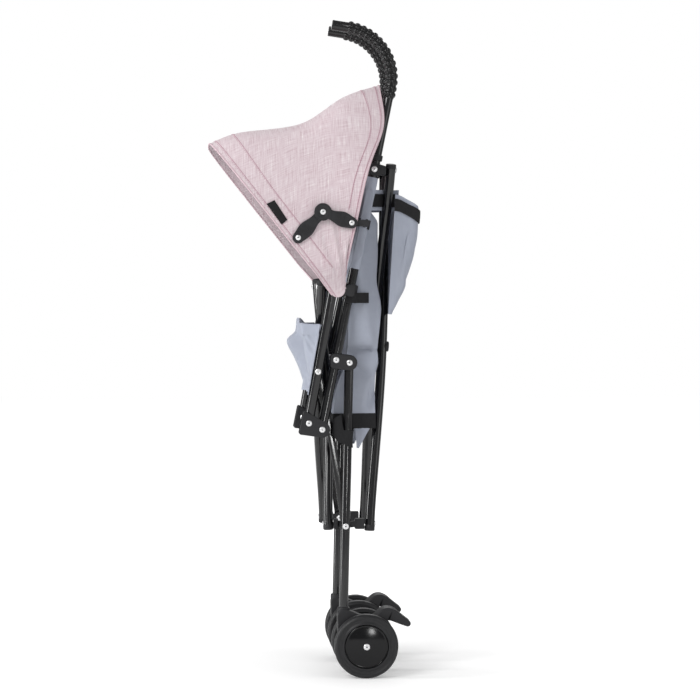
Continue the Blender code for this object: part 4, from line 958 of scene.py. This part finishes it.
def beside(j, inset):
    """The bow place inset mm behind the front edge at column j, or before the rear edge if negative."""
    c = min(max(j, 0.0), 2.0 * HOOD_COLUMNS - 0.001)
    k = int(c)
    run = [a + (b - a) * (c - k) for a, b in zip(bow_lengths[k], bow_lengths[k + 1])]
    roof = smooth((min(c, 2 * HOOD_COLUMNS - c) / HOOD_COLUMNS - 0.45) / 0.4)
    goal = inset * (1 + 0.25 * roof) if inset > 0 else run[-1] + inset * (0.7 + 0.35 * roof)
    i = 0
    while i < HOOD_BOWS - 1 and run[i + 1] < goal:
        i += 1
    return (i + (goal - run[i]) / (run[i + 1] - run[i])) / HOOD_BOWS


# Seams: the two cut lines, and the line that holds each folded hem
SEAMS = (("front_hem_line", 8.5, 0), ("front_seam", 33.0, 9), ("rear_seam", -32.0, 20),
         ("rear_hem_line", -8.5, 0))
for label, inset, first in SEAMS:
    halves = range(2 * first, 4 * HOOD_COLUMNS + 1 - 2 * first)
    line = [hood_at(beside(j * 0.5, inset), j * 0.5, 0.1)[0] for j in halves]
    sewn_line(label, line, 0.5, 8, seam_thread)

stitch, given = scatter_tree("stitches", ("Length", "Thickness"), ("Thread",))
turned = facing(stitch, ("ahead", "X", "AUTO"), ("outward", "Z", "X"))
bar = ball(stitch, given, 6, 5, "Length", "Thickness", "Thickness")
add(stitch, "NodeGroupOutput", {}, {"Made": scattered(stitch, given, bar, turned, "Thread")})

# Each row of stitches: mm from the edge, and the first column
STITCH_ROWS = ((6.7, 0), (31.2, 9), (-29.8, 20), (-6.6, 0))
STITCH_PITCH = 3.4
places = []
for inset, first in STITCH_ROWS:
    previous, run = None, 0.0
    for step in range(first * 8, 2 * HOOD_COLUMNS * 8 + 1 - first * 8):
        p, inward = hood_at(beside(step / 8, inset), step / 8, 0.12)
        if previous is not None:
            run += (p - previous).length * 1000
            if run > STITCH_PITCH:
                places.append({"at": p, "outward": -inward, "ahead": (p - previous).normalized()})
                run = 0.0
        previous = p
STITCH = {"Length": 0.0013, "Thickness": 0.00032}
blended(grown("hood_stitches", stitch, places, STITCH | {"Thread": seam_thread}, None))

# A small woven tab, folded flat and sewn at its corners to the left hem; left plain
tab_cloth, tree, shader = finish("plain black woven tab", "19191B", 0.7, specular=0.25)
grain(tree, shader, 1.0, (0.6, 0.8), 0.06)
TAB_CORNERS, TAB_Y = ((-162.6, 771.5), (-149.8, 777.6), (-129.0, 746.0), (-138.3, 738.4)), -134.35
corners = [at(c, TAB_Y) for c in TAB_CORNERS]
tab_rows = [[corners[0].lerp(corners[1], j / 4).lerp(corners[3].lerp(corners[2], j / 4), i / 8)
             + Vector((0, 0.0001 * math.sin(i * 1.3), 0)) for j in range(5)] for i in range(9)]
tab_inner = [[p + Vector((0, 0.0007, 0)) for p in row] for row in tab_rows]
cloth_shell("hood_tab", tab_rows, tab_inner, (0.0145, 0.037), [tab_cloth])

# Hood arms
# A jointed pair of leaf-shaped plastic arms on each side props the hood: one end is riveted to the
# hem, the other to the clip on the push tube, and a round cover turns over the elbow.
ARM_T, WALL = 3.2, HOOD_W + 0.5
REAR_LEAF = WALL + ARM_T + 0.3
LEAF = (9.2, 12.4, 8.0, 10.0)
GROOVES, GROOVE_DEEP, GROOVE_WIDE, GROOVE_SLANT = ((10.5, 6.0), (17.0, 7.8), (23.5, 7.0)), 0.9, 2.4, 62
ELBOW_COVER = [(0.2, 0), (0.2, 13.6), (0.6, 14.2), (ARM_T - 0.6, 14.2), (ARM_T + 0.1, 13.8),
               (ARM_T + 0.5, 12.8), (ARM_T + 0.5, 8.0), (ARM_T + 0.1, 7.4), (ARM_T + 0.1, 0)]

for name, side in SIDES:
    for part, foot_xz, y0 in (("arm_front", ARM_HEM, WALL), ("arm_rear", ARM_CLIP, REAR_LEAF)):
        reach = (ARM_ELBOW[0] - foot_xz[0], ARM_ELBOW[1] - foot_xz[1])
        way = unit(foot_xz, ARM_ELBOW)
        leaf = strip([foot_xz, plus(foot_xz, reach, 0.33), plus(foot_xz, reach, 0.7), ARM_ELBOW], LEAF)
        join, cut = [], []
        for s, length in GROOVES:
            middle = plus(foot_xz, way, s)
            slant = turned_xz(way, GROOVE_SLANT)
            groove = strip([plus(middle, slant, -length), plus(middle, slant, length)], [GROOVE_WIDE] * 2, 10)
            cut.append(slab(groove, side * (y0 + ARM_T - GROOVE_DEEP), side * (y0 + ARM_T + 2)))
        if part == "arm_rear":
            join = [lathe(at(ARM_ELBOW, side * y0), side, ELBOW_COVER, 64),
                    rod(at(ARM_CLIP, side * (y0 + 1)), at(ARM_CLIP, side * (HOOD_W - 4.5)), 3.0, 20),
                    rod(at(ARM_ELBOW, side * (y0 + 1)), at(ARM_ELBOW, side * (WALL + 0.2)), 3.0, 20)]
        else:
            cut.append(bore(ARM_ELBOW, side, 110, 150))
        rides = f"{name}_{part}"
        piece(rides + "_leaf", plate(leaf, side * y0, side * (y0 + ARM_T), 0.9), moulded, rides, [rides],
              join=join, cut=cut)

# Hood clips
# Two moulded clips a side hold the hood on the push tube: a collar with a plate for the arm's rivet
# above, and a collar at the hood's foot below.
SOCKET, ARM_COLLAR, HOOD_COLLAR = 9.8, 11.8, 12.5

for name, side in SIDES:
    z = ARM_CLIP[1]
    ty, face = push_y(z), HOOD_W - 3.0
    bridge = band_round([(push_x(z) + 1.0, z + h, 3.2) for h in (-3, 3)], 24)
    ear = band_round([(push_x(z) + 1.5, z, 5.0), (*ARM_CLIP, 5.6)])
    mouth = band_round([(x, z + h, 1) for x in (-40, push_x(z) - 7.5) for h in (-20, 20)], 8)
    collar = rod(on_push(z - 7.5, side), on_push(z + 7.5, side), ARM_COLLAR, rim=1.2)
    moulding(name, "arm_clip", "frame", collar,
             join=[plate(bridge, side * (ty + 6), side * face, 0.8),
                   plate(ear, side * (face - 2.4), side * face, 0.6),
                   rod(at(ARM_CLIP, side * (face - 2)), at(ARM_CLIP, side * (REAR_LEAF - 0.3)), 5.6, 32)],
             cut=[slab(mouth, side * 40, side * (face - 3)),
                  rod(on_push(z - 20, side), on_push(z + 20, side), SOCKET), bore(ARM_CLIP, side, 100, 150)])
    z = HOOD_PIVOT[1] - 2
    tongue = band_round([(push_x(z), z - 4, 6.0), (push_x(z), z + 4, 6.0), (-38.5, z, 5.0)])
    collar = rod(on_push(z - 10, side), on_push(z + 10, side), HOOD_COLLAR, rim=1.2)
    moulding(name, "hood_clip", "frame", collar,
             join=[plate(tongue, side * (push_y(z) + 4), side * (HOOD_FOOT - 2.4), 0.8)],
             cut=[rod(on_push(z - 20, side), on_push(z + 20, side), SOCKET)])

# Seat cloth
# A plain-woven polyester panel between the push tubes, which hangs in upright folds when the frame
# is closed and is bound at its foot with black webbing.
# Plain-woven polyester: blue-grey, smooth, with a fine weave drawn 1 mm coarse so that it shows.
grey, tree, shader = finish("blue-grey plain-woven polyester", "9FA4B1", 0.82, specular=0.25)
placed = woven(tree, shader, 1.0, 0.1)
shader.inputs["Sheen Weight"].default_value = 0.1
cloudy = add(tree, "ShaderNodeTexNoise", {}, {"Vector": placed, "Scale": 60.0, "Detail": 4.0})
tone = add(tree, "ShaderNodeMix", {"data_type": "RGBA"},
           {0: cloudy.outputs[0], 6: linear("999EAC"), 7: linear("A6ABB7")})
tree.links.new(tone.outputs[2], shader.inputs["Base Color"])

# Polyester webbing: black, ribbed across its length every 1.6 mm, dull with a slight thread shine.
webbing, tree, shader = finish("black ribbed webbing", "1A1A1C", 0.66, specular=0.3)
woven(tree, shader, 1.6, 0.22)


def brace_x(z):
    return BRACE_LOW[0] + (z - BRACE_LOW[1]) * (BRACE_TOP[0] - BRACE_LOW[0]) / (BRACE_TOP[1] - BRACE_LOW[1])


def walled(rows, wall):
    """The inner grid of a cloth: each point moved along the grid's normal by wall mm."""
    m, n = len(rows), len(rows[0])
    inner = []
    for i in range(m):
        inner.append([])
        for j in range(n):
            du = rows[min(i + 1, m - 1)][j] - rows[max(i - 1, 0)][j]
            dv = rows[i][min(j + 1, n - 1)] - rows[i][max(j - 1, 0)]
            inner[-1].append(rows[i][j] + du.cross(dv).normalized() * wall * 0.001)
    return inner


def sewn(name, rows, wall, flat, skin, stands_for=()):
    """A cloth of grey polyester or black webbing."""
    cloth_shell(name, rows, walled(rows, wall), flat, [skin], stands_for)


def seat_at(z, t):
    """The seat cloth at height z and t from -1 to 1 across."""
    edge = min(61.0, push_y(z) - 12.7)
    swell = 0.9 + 0.1 * math.sin(z / 47)
    a = abs(t)
    deep = 23.0 - 8.0 * math.exp(-(a / 0.3) ** 2 - ((z - 539) / 110) ** 2) - 9.0 * smooth((z - 742) / 30)
    low = 8.0 * smooth((525 - z) / 60) * smooth((a - 0.3) / 0.3)
    deep += low
    wave = math.cos(5 * math.pi * a + 0.5 * math.sin(z / 90) * (1 - a))
    x = brace_x(z) - 58 - 2 * low + deep + deep * swell * wave
    x += 13.0 * math.exp(-((a - 0.8) / 0.09) ** 2) * smooth((655 - z) / 60)
    x += 3.0 * math.exp(-((z - 560 + 60 * a) / 10) ** 2) * smooth((a - 0.7) / 0.1) * smooth((1 - a) / 0.05)
    x += 1.6 * noise.noise(Vector((t * 6.0, z * 0.018, 1.0))) * smooth((1 - a) / 0.1)
    off = x - (1.8 + (613 - z) * 0.163)
    pleat = 14.0 * max(0.0, 1 + off / 42) if off < 0 else 14.0 * max(0.0, 1 - off / 13)
    pleat *= smooth((z - 520) / 30) * smooth((720 - z) / 60)
    pleat -= 16.0 * smooth((541 - z) / 9) * smooth((z - 470) / 55) * smooth((18 - x) / 8)
    long_fold = math.exp(-((x - 21 + max(0.0, 490 - z) * 0.22) / 4.5) ** 2)
    pleat -= 12.0 * long_fold * smooth((z - 428) / 20) * smooth((545 - z) / 20)
    y = edge * a + pleat * smooth((a - 0.74) / 0.08)
    return at((x, z), math.copysign(y, t))


SEAT_FOOT, SEAT_TOP, BINDING_FOOT, BINDING_HIGH = 407.0, 792.0, 404.0, 25.0
STRAP_FOOT, STRAP_HIGH = 611.5, 17.0
CORNER_FOOT, CORNER_TOP = 371.5, 404.5


def seat_rows(foot, high, count):
    """A band of the seat cloth from the height of its foot up."""
    return [[seat_at(foot + high * i / count, j / 75) for j in range(-75, 76)] for i in range(count + 1)]


rows = seat_rows(SEAT_FOOT, SEAT_TOP - SEAT_FOOT, 70)
sewn("seat_cloth_panel", rows, 1.3, (0.42, 0.385), grey,
     ["seat_cloth"])
rows = seat_rows(BINDING_FOOT, BINDING_HIGH, 8)
cloth_shell("seat_foot_binding", walled(rows, -0.8), walled(rows, 2.1), (0.42, 0.025), [webbing])
for name, side in SIDES:
    rows = []
    for i in range(9):
        z = STRAP_FOOT + STRAP_HIGH * i / 8
        plan = ((push_x(z) - 6.0, push_y(z) + 13.6), (push_x(z) + 8.0, push_y(z) + 12.6), (-12.0, 80.0),
                (4.0, 70.0), (7.0, 63.0))
        rows.append([at((x, z), side * y) for x, y in (along(plan, k / 24) for k in range(25))])
    sewn(name + "_foot_strap", rows, 1.6 * side, (0.052, 0.017), webbing)
    corner = []
    for i in range(11):
        z = CORNER_FOOT + (CORNER_TOP - CORNER_FOOT) * i / 10
        left = -13.0 + 0.105 * (CORNER_TOP - z)
        wide = 1.5 + 22.5 * i / 10
        corner.append([at((left + wide * k / 8, z), side * (51.0 + 2.0 * math.sin(k / 8 * math.pi)))
                       for k in range(9)])
    sewn(name + "_seat_corner", corner, 1.2 * side, (0.026, 0.034), grey)

# Seat sleeves
# Hems of the seat cloth sewn into tubes and slid over the push tubes, each with a stitched flap
# behind it that the basket is snapped to.
SLEEVE_FOOT, SLEEVE_HIGH, SLEEVE_R, SLEEVE_INNER = 668.0, 150.0, 9.55, 0.875
FLAP_FOOT, FLAP_HIGH = 650.0, 147.0
FLAP_EDGE = ((-33.2, 650.0), (-23.3, 669.4), (-5.5, 688.0), (-1.0, 712.0), (2.0, 730.0), (7.0, 746.3),
             (12.7, 772.5), (14.5, 797.0))


def ring_shell(outer, inner):
    """A tube of cloth from its outer rings and its inner rings."""
    n, last = len(outer[0]), len(outer) - 1
    verts = [p for pair in zip(outer, inner) for ring in pair for p in ring]
    faces = []
    for i in range(last):
        for k in range(n):
            j, a, b = (k + 1) % n, i * 2 * n, (i + 1) * 2 * n
            faces += [(a + k, a + j, b + j, b + k), (a + n + k, b + n + k, b + n + j, a + n + j)]
    for a in (0, last * 2 * n):
        faces += [(a + k, a + (k + 1) % n, a + n + (k + 1) % n, a + n + k) for k in range(n)]
    return mesh_of(verts, faces)


for name, side in SIDES:
    outer, inner = [], []
    for i in range(41):
        z = SLEEVE_FOOT + SLEEVE_HIGH * i / 40
        middle = on_push(z, side)
        ring = []
        for k in range(24):
            a = 2 * math.pi * k / 24
            swell = SLEEVE_R + 0.25 * math.sin(z / 9 + 2 * a)
            way = Vector((PUSH[1], 0, -PUSH[0])) * math.cos(a) + Vector((0, 1, 0)) * math.sin(a)
            ring.append(middle + way * swell * 0.001)
        outer.append(ring)
        inner.append([middle + (p - middle) * SLEEVE_INNER for p in ring])
    bm = ring_shell(outer, inner)
    layer = bm.loops.layers.uv.new("cloth")
    for face in bm.faces:
        for loop in face.loops:
            p = loop.vert.co
            loop[layer].uv = (math.atan2(p.y - side * 0.07, p.x) * 0.0095, p.z)
    area = sum(f.calc_area() for f in bm.faces) / 2
    sleeve = piece(name + "_seat_hem_tube", bm, grey, name + "_frame", [name + "_seat_sleeve"])
    rows = []
    for i in range(61):
        z = FLAP_FOOT + FLAP_HIGH * i / 60
        k = max(n for n in range(len(FLAP_EDGE) - 1) if FLAP_EDGE[n][1] <= z)
        (x0, z0), (x1, z1) = FLAP_EDGE[k:k + 2]
        right = x0 + (x1 - x0) * (z - z0) / (z1 - z0)
        left = min(push_x(z) - 6.0, right - 3.0)
        row = []
        for n in range(17):
            x = left + (right - left) * n / 16
            away = (x - push_x(z)) / 10.5
            y = push_y(z) + 10.7 + 2.0 * math.exp(-((z - 741) / 12) ** 2) - 2.2 * max(away, 0.0) ** 2
            y += 0.9 * noise.noise(Vector((x * 0.09, z * 0.035, 3.0 + side)))
            row.append(at((x, z), side * y))
        rows.append(row)
    sewn(name + "_seat_flap", rows, 1.2 * side, (0.034, 0.15), grey)

# Basket
# A bag of the same grey polyester, slung behind the braces, with its top edge bound
# in black webbing and its front corners sewn to the seat hems.
BASKET_W, BASKET_FOOT, BASKET_RIM = 66.0, 592.0, 790.0
LEVELS = ((BASKET_FOOT, 45.0), (608.0, 54.5), (640.0, 68.0), (702.0, 84.5), (742.0, 90.5), (768.0, 91.0),
          (BASKET_RIM, 82.0))


def basket_at(z, t, lift):
    """The bag at height z and t from -1 (left front) over the back to 1 (right front)."""
    n = 0
    while n < len(LEVELS) - 2 and LEVELS[n + 1][0] < z:
        n += 1
    spots = [LEVELS[min(max(k, 0), len(LEVELS) - 1)] for k in (n - 1, n, n + 1, n + 2)]
    f = (z - spots[1][0]) / (spots[2][0] - spots[1][0])
    back = eased(*(s[1] for s in spots), f)
    front = brace_x(z) + 9.4
    wide = BASKET_W - 0.012 * (BASKET_RIM - z) + lift
    back += lift
    r = min(14.0, 0.45 * (back - front))
    straight, arc, rear = back - r - front, r * math.pi / 2, wide - r
    total = straight + arc + rear
    s = (1 - abs(t)) * total
    side = -1 if t < 0 else 1
    belly = 3.0 * math.sin((z - BASKET_FOOT) / (BASKET_RIM - BASKET_FOOT) * math.pi)
    if s < straight:
        x, y = front + s, wide - belly * 0.4 * math.sin(math.pi * s / straight)
    elif s < straight + arc:
        a = (s - straight) / r
        x, y = back - r + r * math.sin(a), wide - r + r * math.cos(a)
    else:
        x, y = back, wide - r - (s - straight - arc)
    fold = smooth((s - 4) / 14) * (1.2 * math.sin(z / 13 + s / 9) * smooth((680 - z) / 60)
                                   + 1.5 * noise.noise(Vector((t * 5, z * 0.03, 7.0)))
                                   - 2.6 * math.exp(-((z - 715) / 22) ** 2 - ((s - 24) / 9) ** 2)
                                   - 1.8 * math.exp(-((z - 672) / 30) ** 2 - ((s - 31) / 6) ** 2))
    if s < straight:
        return at((x + fold * 0.3, z), side * (y - abs(fold) * 0.7))
    return at((x + fold, z), side * y)


def rim_z(t):
    """The bag's top edge, higher at the front corners than behind."""
    return 770.0 + 20.0 * smooth((abs(t) - 0.5) / 0.5)


def bag_rows(z0, z1, count, lift):
    """A band round the bag between two heights that depend on t."""
    places = [j / 60 - 1 for j in range(121)]
    return [[basket_at(z0(t) + (z1(t) - z0(t)) * i / count, t, lift) for t in places]
            for i in range(count + 1)]


rows = bag_rows(lambda t: BASKET_FOOT + 1.0, rim_z, 46, 0.0)
sewn("basket_cloth", rows, -1.3, (0.30, 0.20), grey,
     ["rear_basket"])
rows = bag_rows(lambda t: rim_z(t) - 27.0, lambda t: rim_z(t) - 7.0, 7, 0.8)
sewn("basket_binding", rows, -2.9, (0.30, 0.02), webbing)
BAG_FRONT_FOOT, BAG_FRONT_TOP = 609.0, 768.0
rows = []
for i in range(30):
    z = BAG_FRONT_FOOT + (BAG_FRONT_TOP - BAG_FRONT_FOOT) * i / 29
    rows.append([at((brace_x(z) + 19.6 + 1.2 * noise.noise(Vector((j * 0.2, z * 0.02, 3.0))), z),
                    (j / 20 - 1) * (BASKET_W - 3.0)) for j in range(41)])
sewn("basket_front_cloth", rows, 1.3, (0.128, 0.17), grey)
TIES = (("tie", 764.0, 798.0, 0.0, grey, 1.3), ("tie_binding", 770.0, 791.0, 0.8, webbing, 2.9))
for name, side in SIDES:
    for label, z0, z1, lift, skin, wall in TIES:
        rows = []
        for i in range(9):
            z = z0 + (z1 - z0) * i / 8
            plan = ((push_x(z) + 8.0, push_y(z) - 6.5), (brace_x(z) - 12.5, 47.0), (brace_x(z) + 1.0, 40.0),
                    (brace_x(z) + 17.0, 45.0))
            rows.append([at((x, z), side * (y + lift)) for x, y in (along(plan, k / 24) for k in range(25))])
        sewn(f"{name}_basket_{label}", rows, wall * side, (0.052, (z1 - z0) * 0.001), skin)

# Calf support
# A soft grey panel slung between the front legs, which bellies forward when the frame is closed and
# folds over itself at the top.
pouch = ((-92.0, 574.0), (-104.0, 586.0), (-107.5, 564.0), (-121.5, 547.5), (-109.0, 520.0), (-98.0, 492.0),
         (-88.5, 462.0))
rows = []
for i in range(49):
    x, z = along(pouch, i / 48)
    row = []
    for j in range(-48, 49):
        t = abs(j) / 48
        ease = smooth((t - 0.7) / 0.22)
        leg = FRONT_PIVOT[0] + (z - FRONT_PIVOT[1]) * FRONT[0] / FRONT[1] - TUBE - 2.6
        flap = -102.0 + (576.0 - z) * 0.13
        px = x + (flap - x) * smooth((t - 0.28) / 0.18)
        px += (leg - px) * ease * 0.97 + 1.6 * math.cos(3 * math.pi * t) * (1 - ease)
        px += 1.4 * noise.noise(Vector((j * 0.09, z * 0.03, 9.0))) * (1 - ease)
        tuck = 10.0 * math.exp(-((t - 0.52) / 0.05) ** 2) - 2.5 * math.exp(-((t - 0.63) / 0.05) ** 2)
        px += tuck * smooth((z - 488.0) / 14.0)
        crease = px - (-94.0 + (553.0 - z) * 0.57)
        fold = 4.5 * math.exp(-(crease / 4.0) ** 2) * smooth((z - 500.0) / 15.0)
        fold += 3.5 * smooth((crease - 4.0) / 5.0) * smooth((z - 512.0) / 20.0)
        fold *= smooth((t - 0.66) / 0.12) * smooth((0.97 - t) / 0.05)
        across = j / 48 * 94.0 - math.copysign(fold, j)
        row.append(at((px, z - 15.0 * (1 - i / 48) ** 3 * smooth((t - 0.3) / 0.15)), across))
    rows.append(row)
sewn("calf_panel", rows, 1.4, (0.22, 0.155), grey,
     ["calf_pouch"])

# Leg straps
# Broad black webbing loops sewn round the rear legs, which tie the foot of the seat cloth to them.
AROUND, WEBBING = 40, 0.0016
LOOP_FOOT, LOOP_TOP, LOOP_TOP_OUTSIDE = 374.0, 430.0, 402.0
for name, side in SIDES:
    rows = []
    for i in range(15):
        z = LOOP_FOOT + 6.0 + (LOOP_TOP - LOOP_FOOT) * i / 14
        lx = leg_x(z)
        grow = -0.6 * math.sin(math.pi * i / 14) + 0.15 * math.sin(i * 1.9)
        outline = band_round([(lx, LEG_Y, 9.2 + grow), (lx - 19.5, LEG_Y + 1.6, 6.4 + grow)], 32)
        start = max(range(len(outline)), key=lambda k: outline[k][0])
        outline = outline[start:] + outline[:start]
        total = [0.0]
        for a, b in zip(outline, outline[1:] + outline[:1]):
            total.append(total[-1] + math.dist(a, b))
        row, k = [], 0
        for step in range(AROUND):
            s = total[-1] * step / AROUND
            while total[k + 1] < s:
                k += 1
            f = (s - total[k]) / (total[k + 1] - total[k])
            end = outline[(k + 1) % len(outline)]
            p = plus(outline[k], (end[0] - outline[k][0], end[1] - outline[k][1]), f)
            low = LOOP_FOOT + 0.42 * max(0.0, -20.0 - p[0]) + 0.8 * max(0.0, -44.0 - p[0])
            high = LOOP_TOP - 0.6 * max(0.0, lx - 11.0 - p[0])
            if p[1] > LEG_Y - 2.0:
                high = LOOP_TOP_OUTSIDE + (high - LOOP_TOP_OUTSIDE) * smooth((lx - 8.6 - p[0]) / 2.8)
            row.append(at((p[0], low + (high - low) * i / 14), side * p[1]))
        rows.append(row)
    inner = []
    for row in rows:
        middle = sum(row, Vector()) / AROUND
        inner.append([p + (middle - p).normalized() * WEBBING for p in row])
    bm = ring_shell(rows, inner)
    layer = bm.loops.layers.uv.new("cloth")
    bm.verts.index_update()
    for face in bm.faces:
        around = [loop.vert.index % AROUND for loop in face.loops]
        wraps = max(around) - min(around) > AROUND / 2
        for loop, k in zip(face.loops, around):
            loop[layer].uv = ((k + AROUND if wraps and k < AROUND / 2 else k) * 0.0023, loop.vert.co.z)
    area = sum(f.calc_area() for f in bm.faces) / 2
    loop_strap = piece(name + "_leg_webbing", bm, webbing, name + "_rear_leg", [name + "_leg_strap"])

# Rivets
# Every joint is closed with a bright zinc-plated steel rivet: a low domed head, in the middle of
# which the shade of the hollow shank is painted as a dark grey metal disc just proud of the crown.
# Zinc-plated steel: pale, bright, a little uneven from tumbling.
steel, tree, shader = finish("bright zinc-plated steel", "F2F2F3", 0.34, metallic=0.6)
grain(tree, shader, 1.2, (0.2, 0.38), 0.03)
# Painted shade: the shade inside the hollow shank, given as a dark grey metal colour.
shank, tree, shader = finish("painted shade in rivet bore", "2A2C33", 0.5, metallic=0.6)
grain(tree, shader, 1.0, (0.4, 0.6), 0.02)

heads, given = scatter_tree("rivet heads", ("Radius", "Height", "Bore"), ("Steel", "PaintedBoreShade"))
turned = facing(heads, ("outward", "Z", "AUTO"))
size = add(heads, "GeometryNodeInputNamedAttribute", {"data_type": "FLOAT"}, {"Name": "size"}).outputs[0]
head = ball(heads, given, 32, 16, "Radius", "Radius", "Height")
# A small disc just proud of each head's crown carries that painted shade of the hollow shank.
plug = add(heads, "GeometryNodeMeshCylinder", {}, {"Vertices": 20, "Radius": given.outputs["Bore"],
                                                   "Depth": given.outputs["Height"]})
rise = add(heads, "ShaderNodeMath", {"operation": "MULTIPLY"}, {0: given.outputs["Height"], 1: 0.53})
up = add(heads, "ShaderNodeCombineXYZ", {}, {"Z": rise.outputs[0]})
lifted = add(heads, "GeometryNodeTransform", {},
             {"Geometry": plug.outputs["Mesh"], "Translation": up.outputs[0]})
joined = add(heads, "GeometryNodeJoinGeometry")
for shape, skin in ((head, "Steel"), (lifted.outputs[0], "PaintedBoreShade")):
    heads.links.new(scattered(heads, given, shape, turned, skin, size), joined.inputs[0])
add(heads, "NodeGroupOutput", {}, {"Made": joined.outputs[0]})

HEAD = {"Radius": 0.0049, "Height": 0.0017, "Bore": 0.0012}
BRACKET_RIVET, AXLE_END, CASTOR_END = 518.4, 47.8, 35.4
rivets = {}


def rivet(rides, spot, way, size=1.0):
    """Notes one head of a rivet for the body that it rides on."""
    rivets.setdefault(rides, []).append({"at": spot, "outward": way, "size": size})


for rides, spot, way in crossed_studs:
    rivet(rides, spot, way)
at_head = push_y(BRACE_PIVOT[1])
for name, side in SIDES:
    out = Vector((0, side, 0))
    for rides, xz, near, far, size in (
            ("frame", (push_x(BRACKET_RIVET), BRACKET_RIVET), LEG_Y - CLEVIS, LEG_Y + CLEVIS, 1.0),
            ("frame", KNUCKLE, FRONT_Y - CLEVIS, FRONT_Y + CLEVIS, 1.0),
            ("frame", BRACE_PIVOT, at_head - CLEVIS, at_head + CLEVIS, 1.0),
            ("rear_leg", LEG_PIVOT, LEG_Y - CLEVIS, LEG_Y + CLEVIS, 1.0),
            ("rear_leg", LEG_CROSS, PIN_Y - 9.0, LEG_Y + 7.6, 1.0),
            ("rear_leg", AXLE, LEG_Y - AXLE_END, LEG_Y + AXLE_END, 1.08),
            ("front_leg", FRONT_PIVOT, FRONT_Y - CLEVIS, FRONT_Y + CLEVIS, 1.0),
            ("front_leg", LINK_TOP, 74.7, FRONT_Y + 8.1, 1.0),
            ("front_leg", STAY_RIVET, PIN_Y - 8.0, FRONT_Y + 8.1, 1.0),
            ("castor", FRONT_AXLE, FRONT_Y - CASTOR_END, FRONT_Y + CASTOR_END, 0.96),
            ("arm_front", ARM_HEM, None, WALL + ARM_T, 0.88),
            ("arm_rear", ARM_ELBOW, None, WALL + 2 * ARM_T + 0.5, 0.92),
            ("arm_rear", ARM_CLIP, None, WALL + 2 * ARM_T + 0.3, 0.88)):
        if near is not None:
            rivet(f"{name}_{rides}", at(xz, side * near), -out, size)
        rivet(f"{name}_{rides}", at(xz, side * far), out, size)
for rides, places in rivets.items():
    grown(rides + "_rivets", heads, places, HEAD | {"Steel": steel, "PaintedBoreShade": shank}, rides)

# Studio
# A white floor and room, a large soft light from the upper left front with weaker ones round it, and
# the camera at the photograph's side view.
floor_mesh = bpy.data.meshes.new("floor")
floor_mesh.from_pydata([(-9, -9, 0), (9, -9, 0), (9, 9, 0), (-9, 9, 0)], [], [(0, 1, 2, 3)])
floor = bpy.data.objects.new("floor", floor_mesh)
bpy.context.scene.collection.objects.link(floor)
paper, tree, shader = finish("white paper sweep", "F6F6F6", 0.9, specular=0.0)
floor_mesh.materials.append(paper)
seen = add(tree, "ShaderNodeLightPath")
place = add(tree, "ShaderNodeTexCoord").outputs["Object"]
away = add(tree, "ShaderNodeVectorMath", {"operation": "LENGTH"}, {0: place})
bright = add(tree, "ShaderNodeMapRange", {}, {
    "Value": away.outputs["Value"], "From Min": 0.15, "From Max": 1.0, "To Min": 0.16, "To Max": 0.5})
glow = add(tree, "ShaderNodeMath", {"operation": "MULTIPLY"}, {0: seen.outputs["Is Camera Ray"],
                                                             1: bright.outputs[0]})
shader.inputs["Emission Color"].default_value = (1, 1, 1, 1)
tree.links.new(glow.outputs[0], shader.inputs["Emission Strength"])

world = bpy.data.worlds.new("room")
bpy.context.scene.world = world
world.use_nodes = True
tree = world.node_tree
background = tree.nodes["Background"]
seen = add(tree, "ShaderNodeLightPath")
direct = add(tree, "ShaderNodeMath", {"operation": "MAXIMUM"}, {0: seen.outputs["Is Camera Ray"],
                                                               1: seen.outputs["Is Transmission Ray"]})
white = add(tree, "ShaderNodeMapRange", {}, {"Value": direct.outputs[0], "To Min": 0.54, "To Max": 1.0})
room = add(tree, "ShaderNodeMapRange", {}, {
    "Value": seen.outputs["Is Glossy Ray"], "To Min": 1.0, "To Max": 0.55})
level = add(tree, "ShaderNodeMath", {"operation": "MULTIPLY"}, {0: white.outputs[0], 1: room.outputs[0]})
tree.links.new(level.outputs[0], background.inputs["Strength"])
background.inputs["Color"].default_value = (1, 1, 1, 1)


def softbox(label, place, target, wide, tall, power):
    """A soft area light at a place, turned to a target."""
    data = bpy.data.lights.new(label, "AREA")
    data.shape, data.size, data.size_y, data.energy = "RECTANGLE", wide, tall, power
    lamp = bpy.data.objects.new(label, data)
    lamp.location = place
    lamp.rotation_euler = (Vector(target) - Vector(place)).to_track_quat("-Z", "Y").to_euler()
    bpy.context.scene.collection.objects.link(lamp)


softbox("key", (-1.9, -2.2, 2.4), (0.0, 0.0, 0.55), 1.4, 1.4, 47)
softbox("fill", (2.4, -1.6, 1.6), (0.0, 0.0, 0.5), 1.8, 1.8, 12)
softbox("left window", (-2.6, -0.15, 0.75), (0.0, 0.0, 0.6), 0.5, 2.4, 38)
softbox("small lamp", (0.66, -3.27, 0.5), (0.08, 0.0, 0.1), 0.3, 0.34, 6)
softbox("back", (0.5, 3.0, 1.9), (0.0, 0.0, 0.5), 1.6, 1.6, 16)

view = bpy.data.cameras.new("camera")
view.lens, view.sensor_width, view.clip_end = 117.00, 36.0, 50.0
camera = bpy.data.objects.new("camera", view)
camera.location = (-0.2221, -3.8000, 0.640)
camera.rotation_euler = (math.radians(88.380), 0, math.radians(-4.297))
bpy.context.scene.collection.objects.link(camera)
bpy.context.scene.camera = camera
bpy.context.scene.view_settings.view_transform = "Standard"
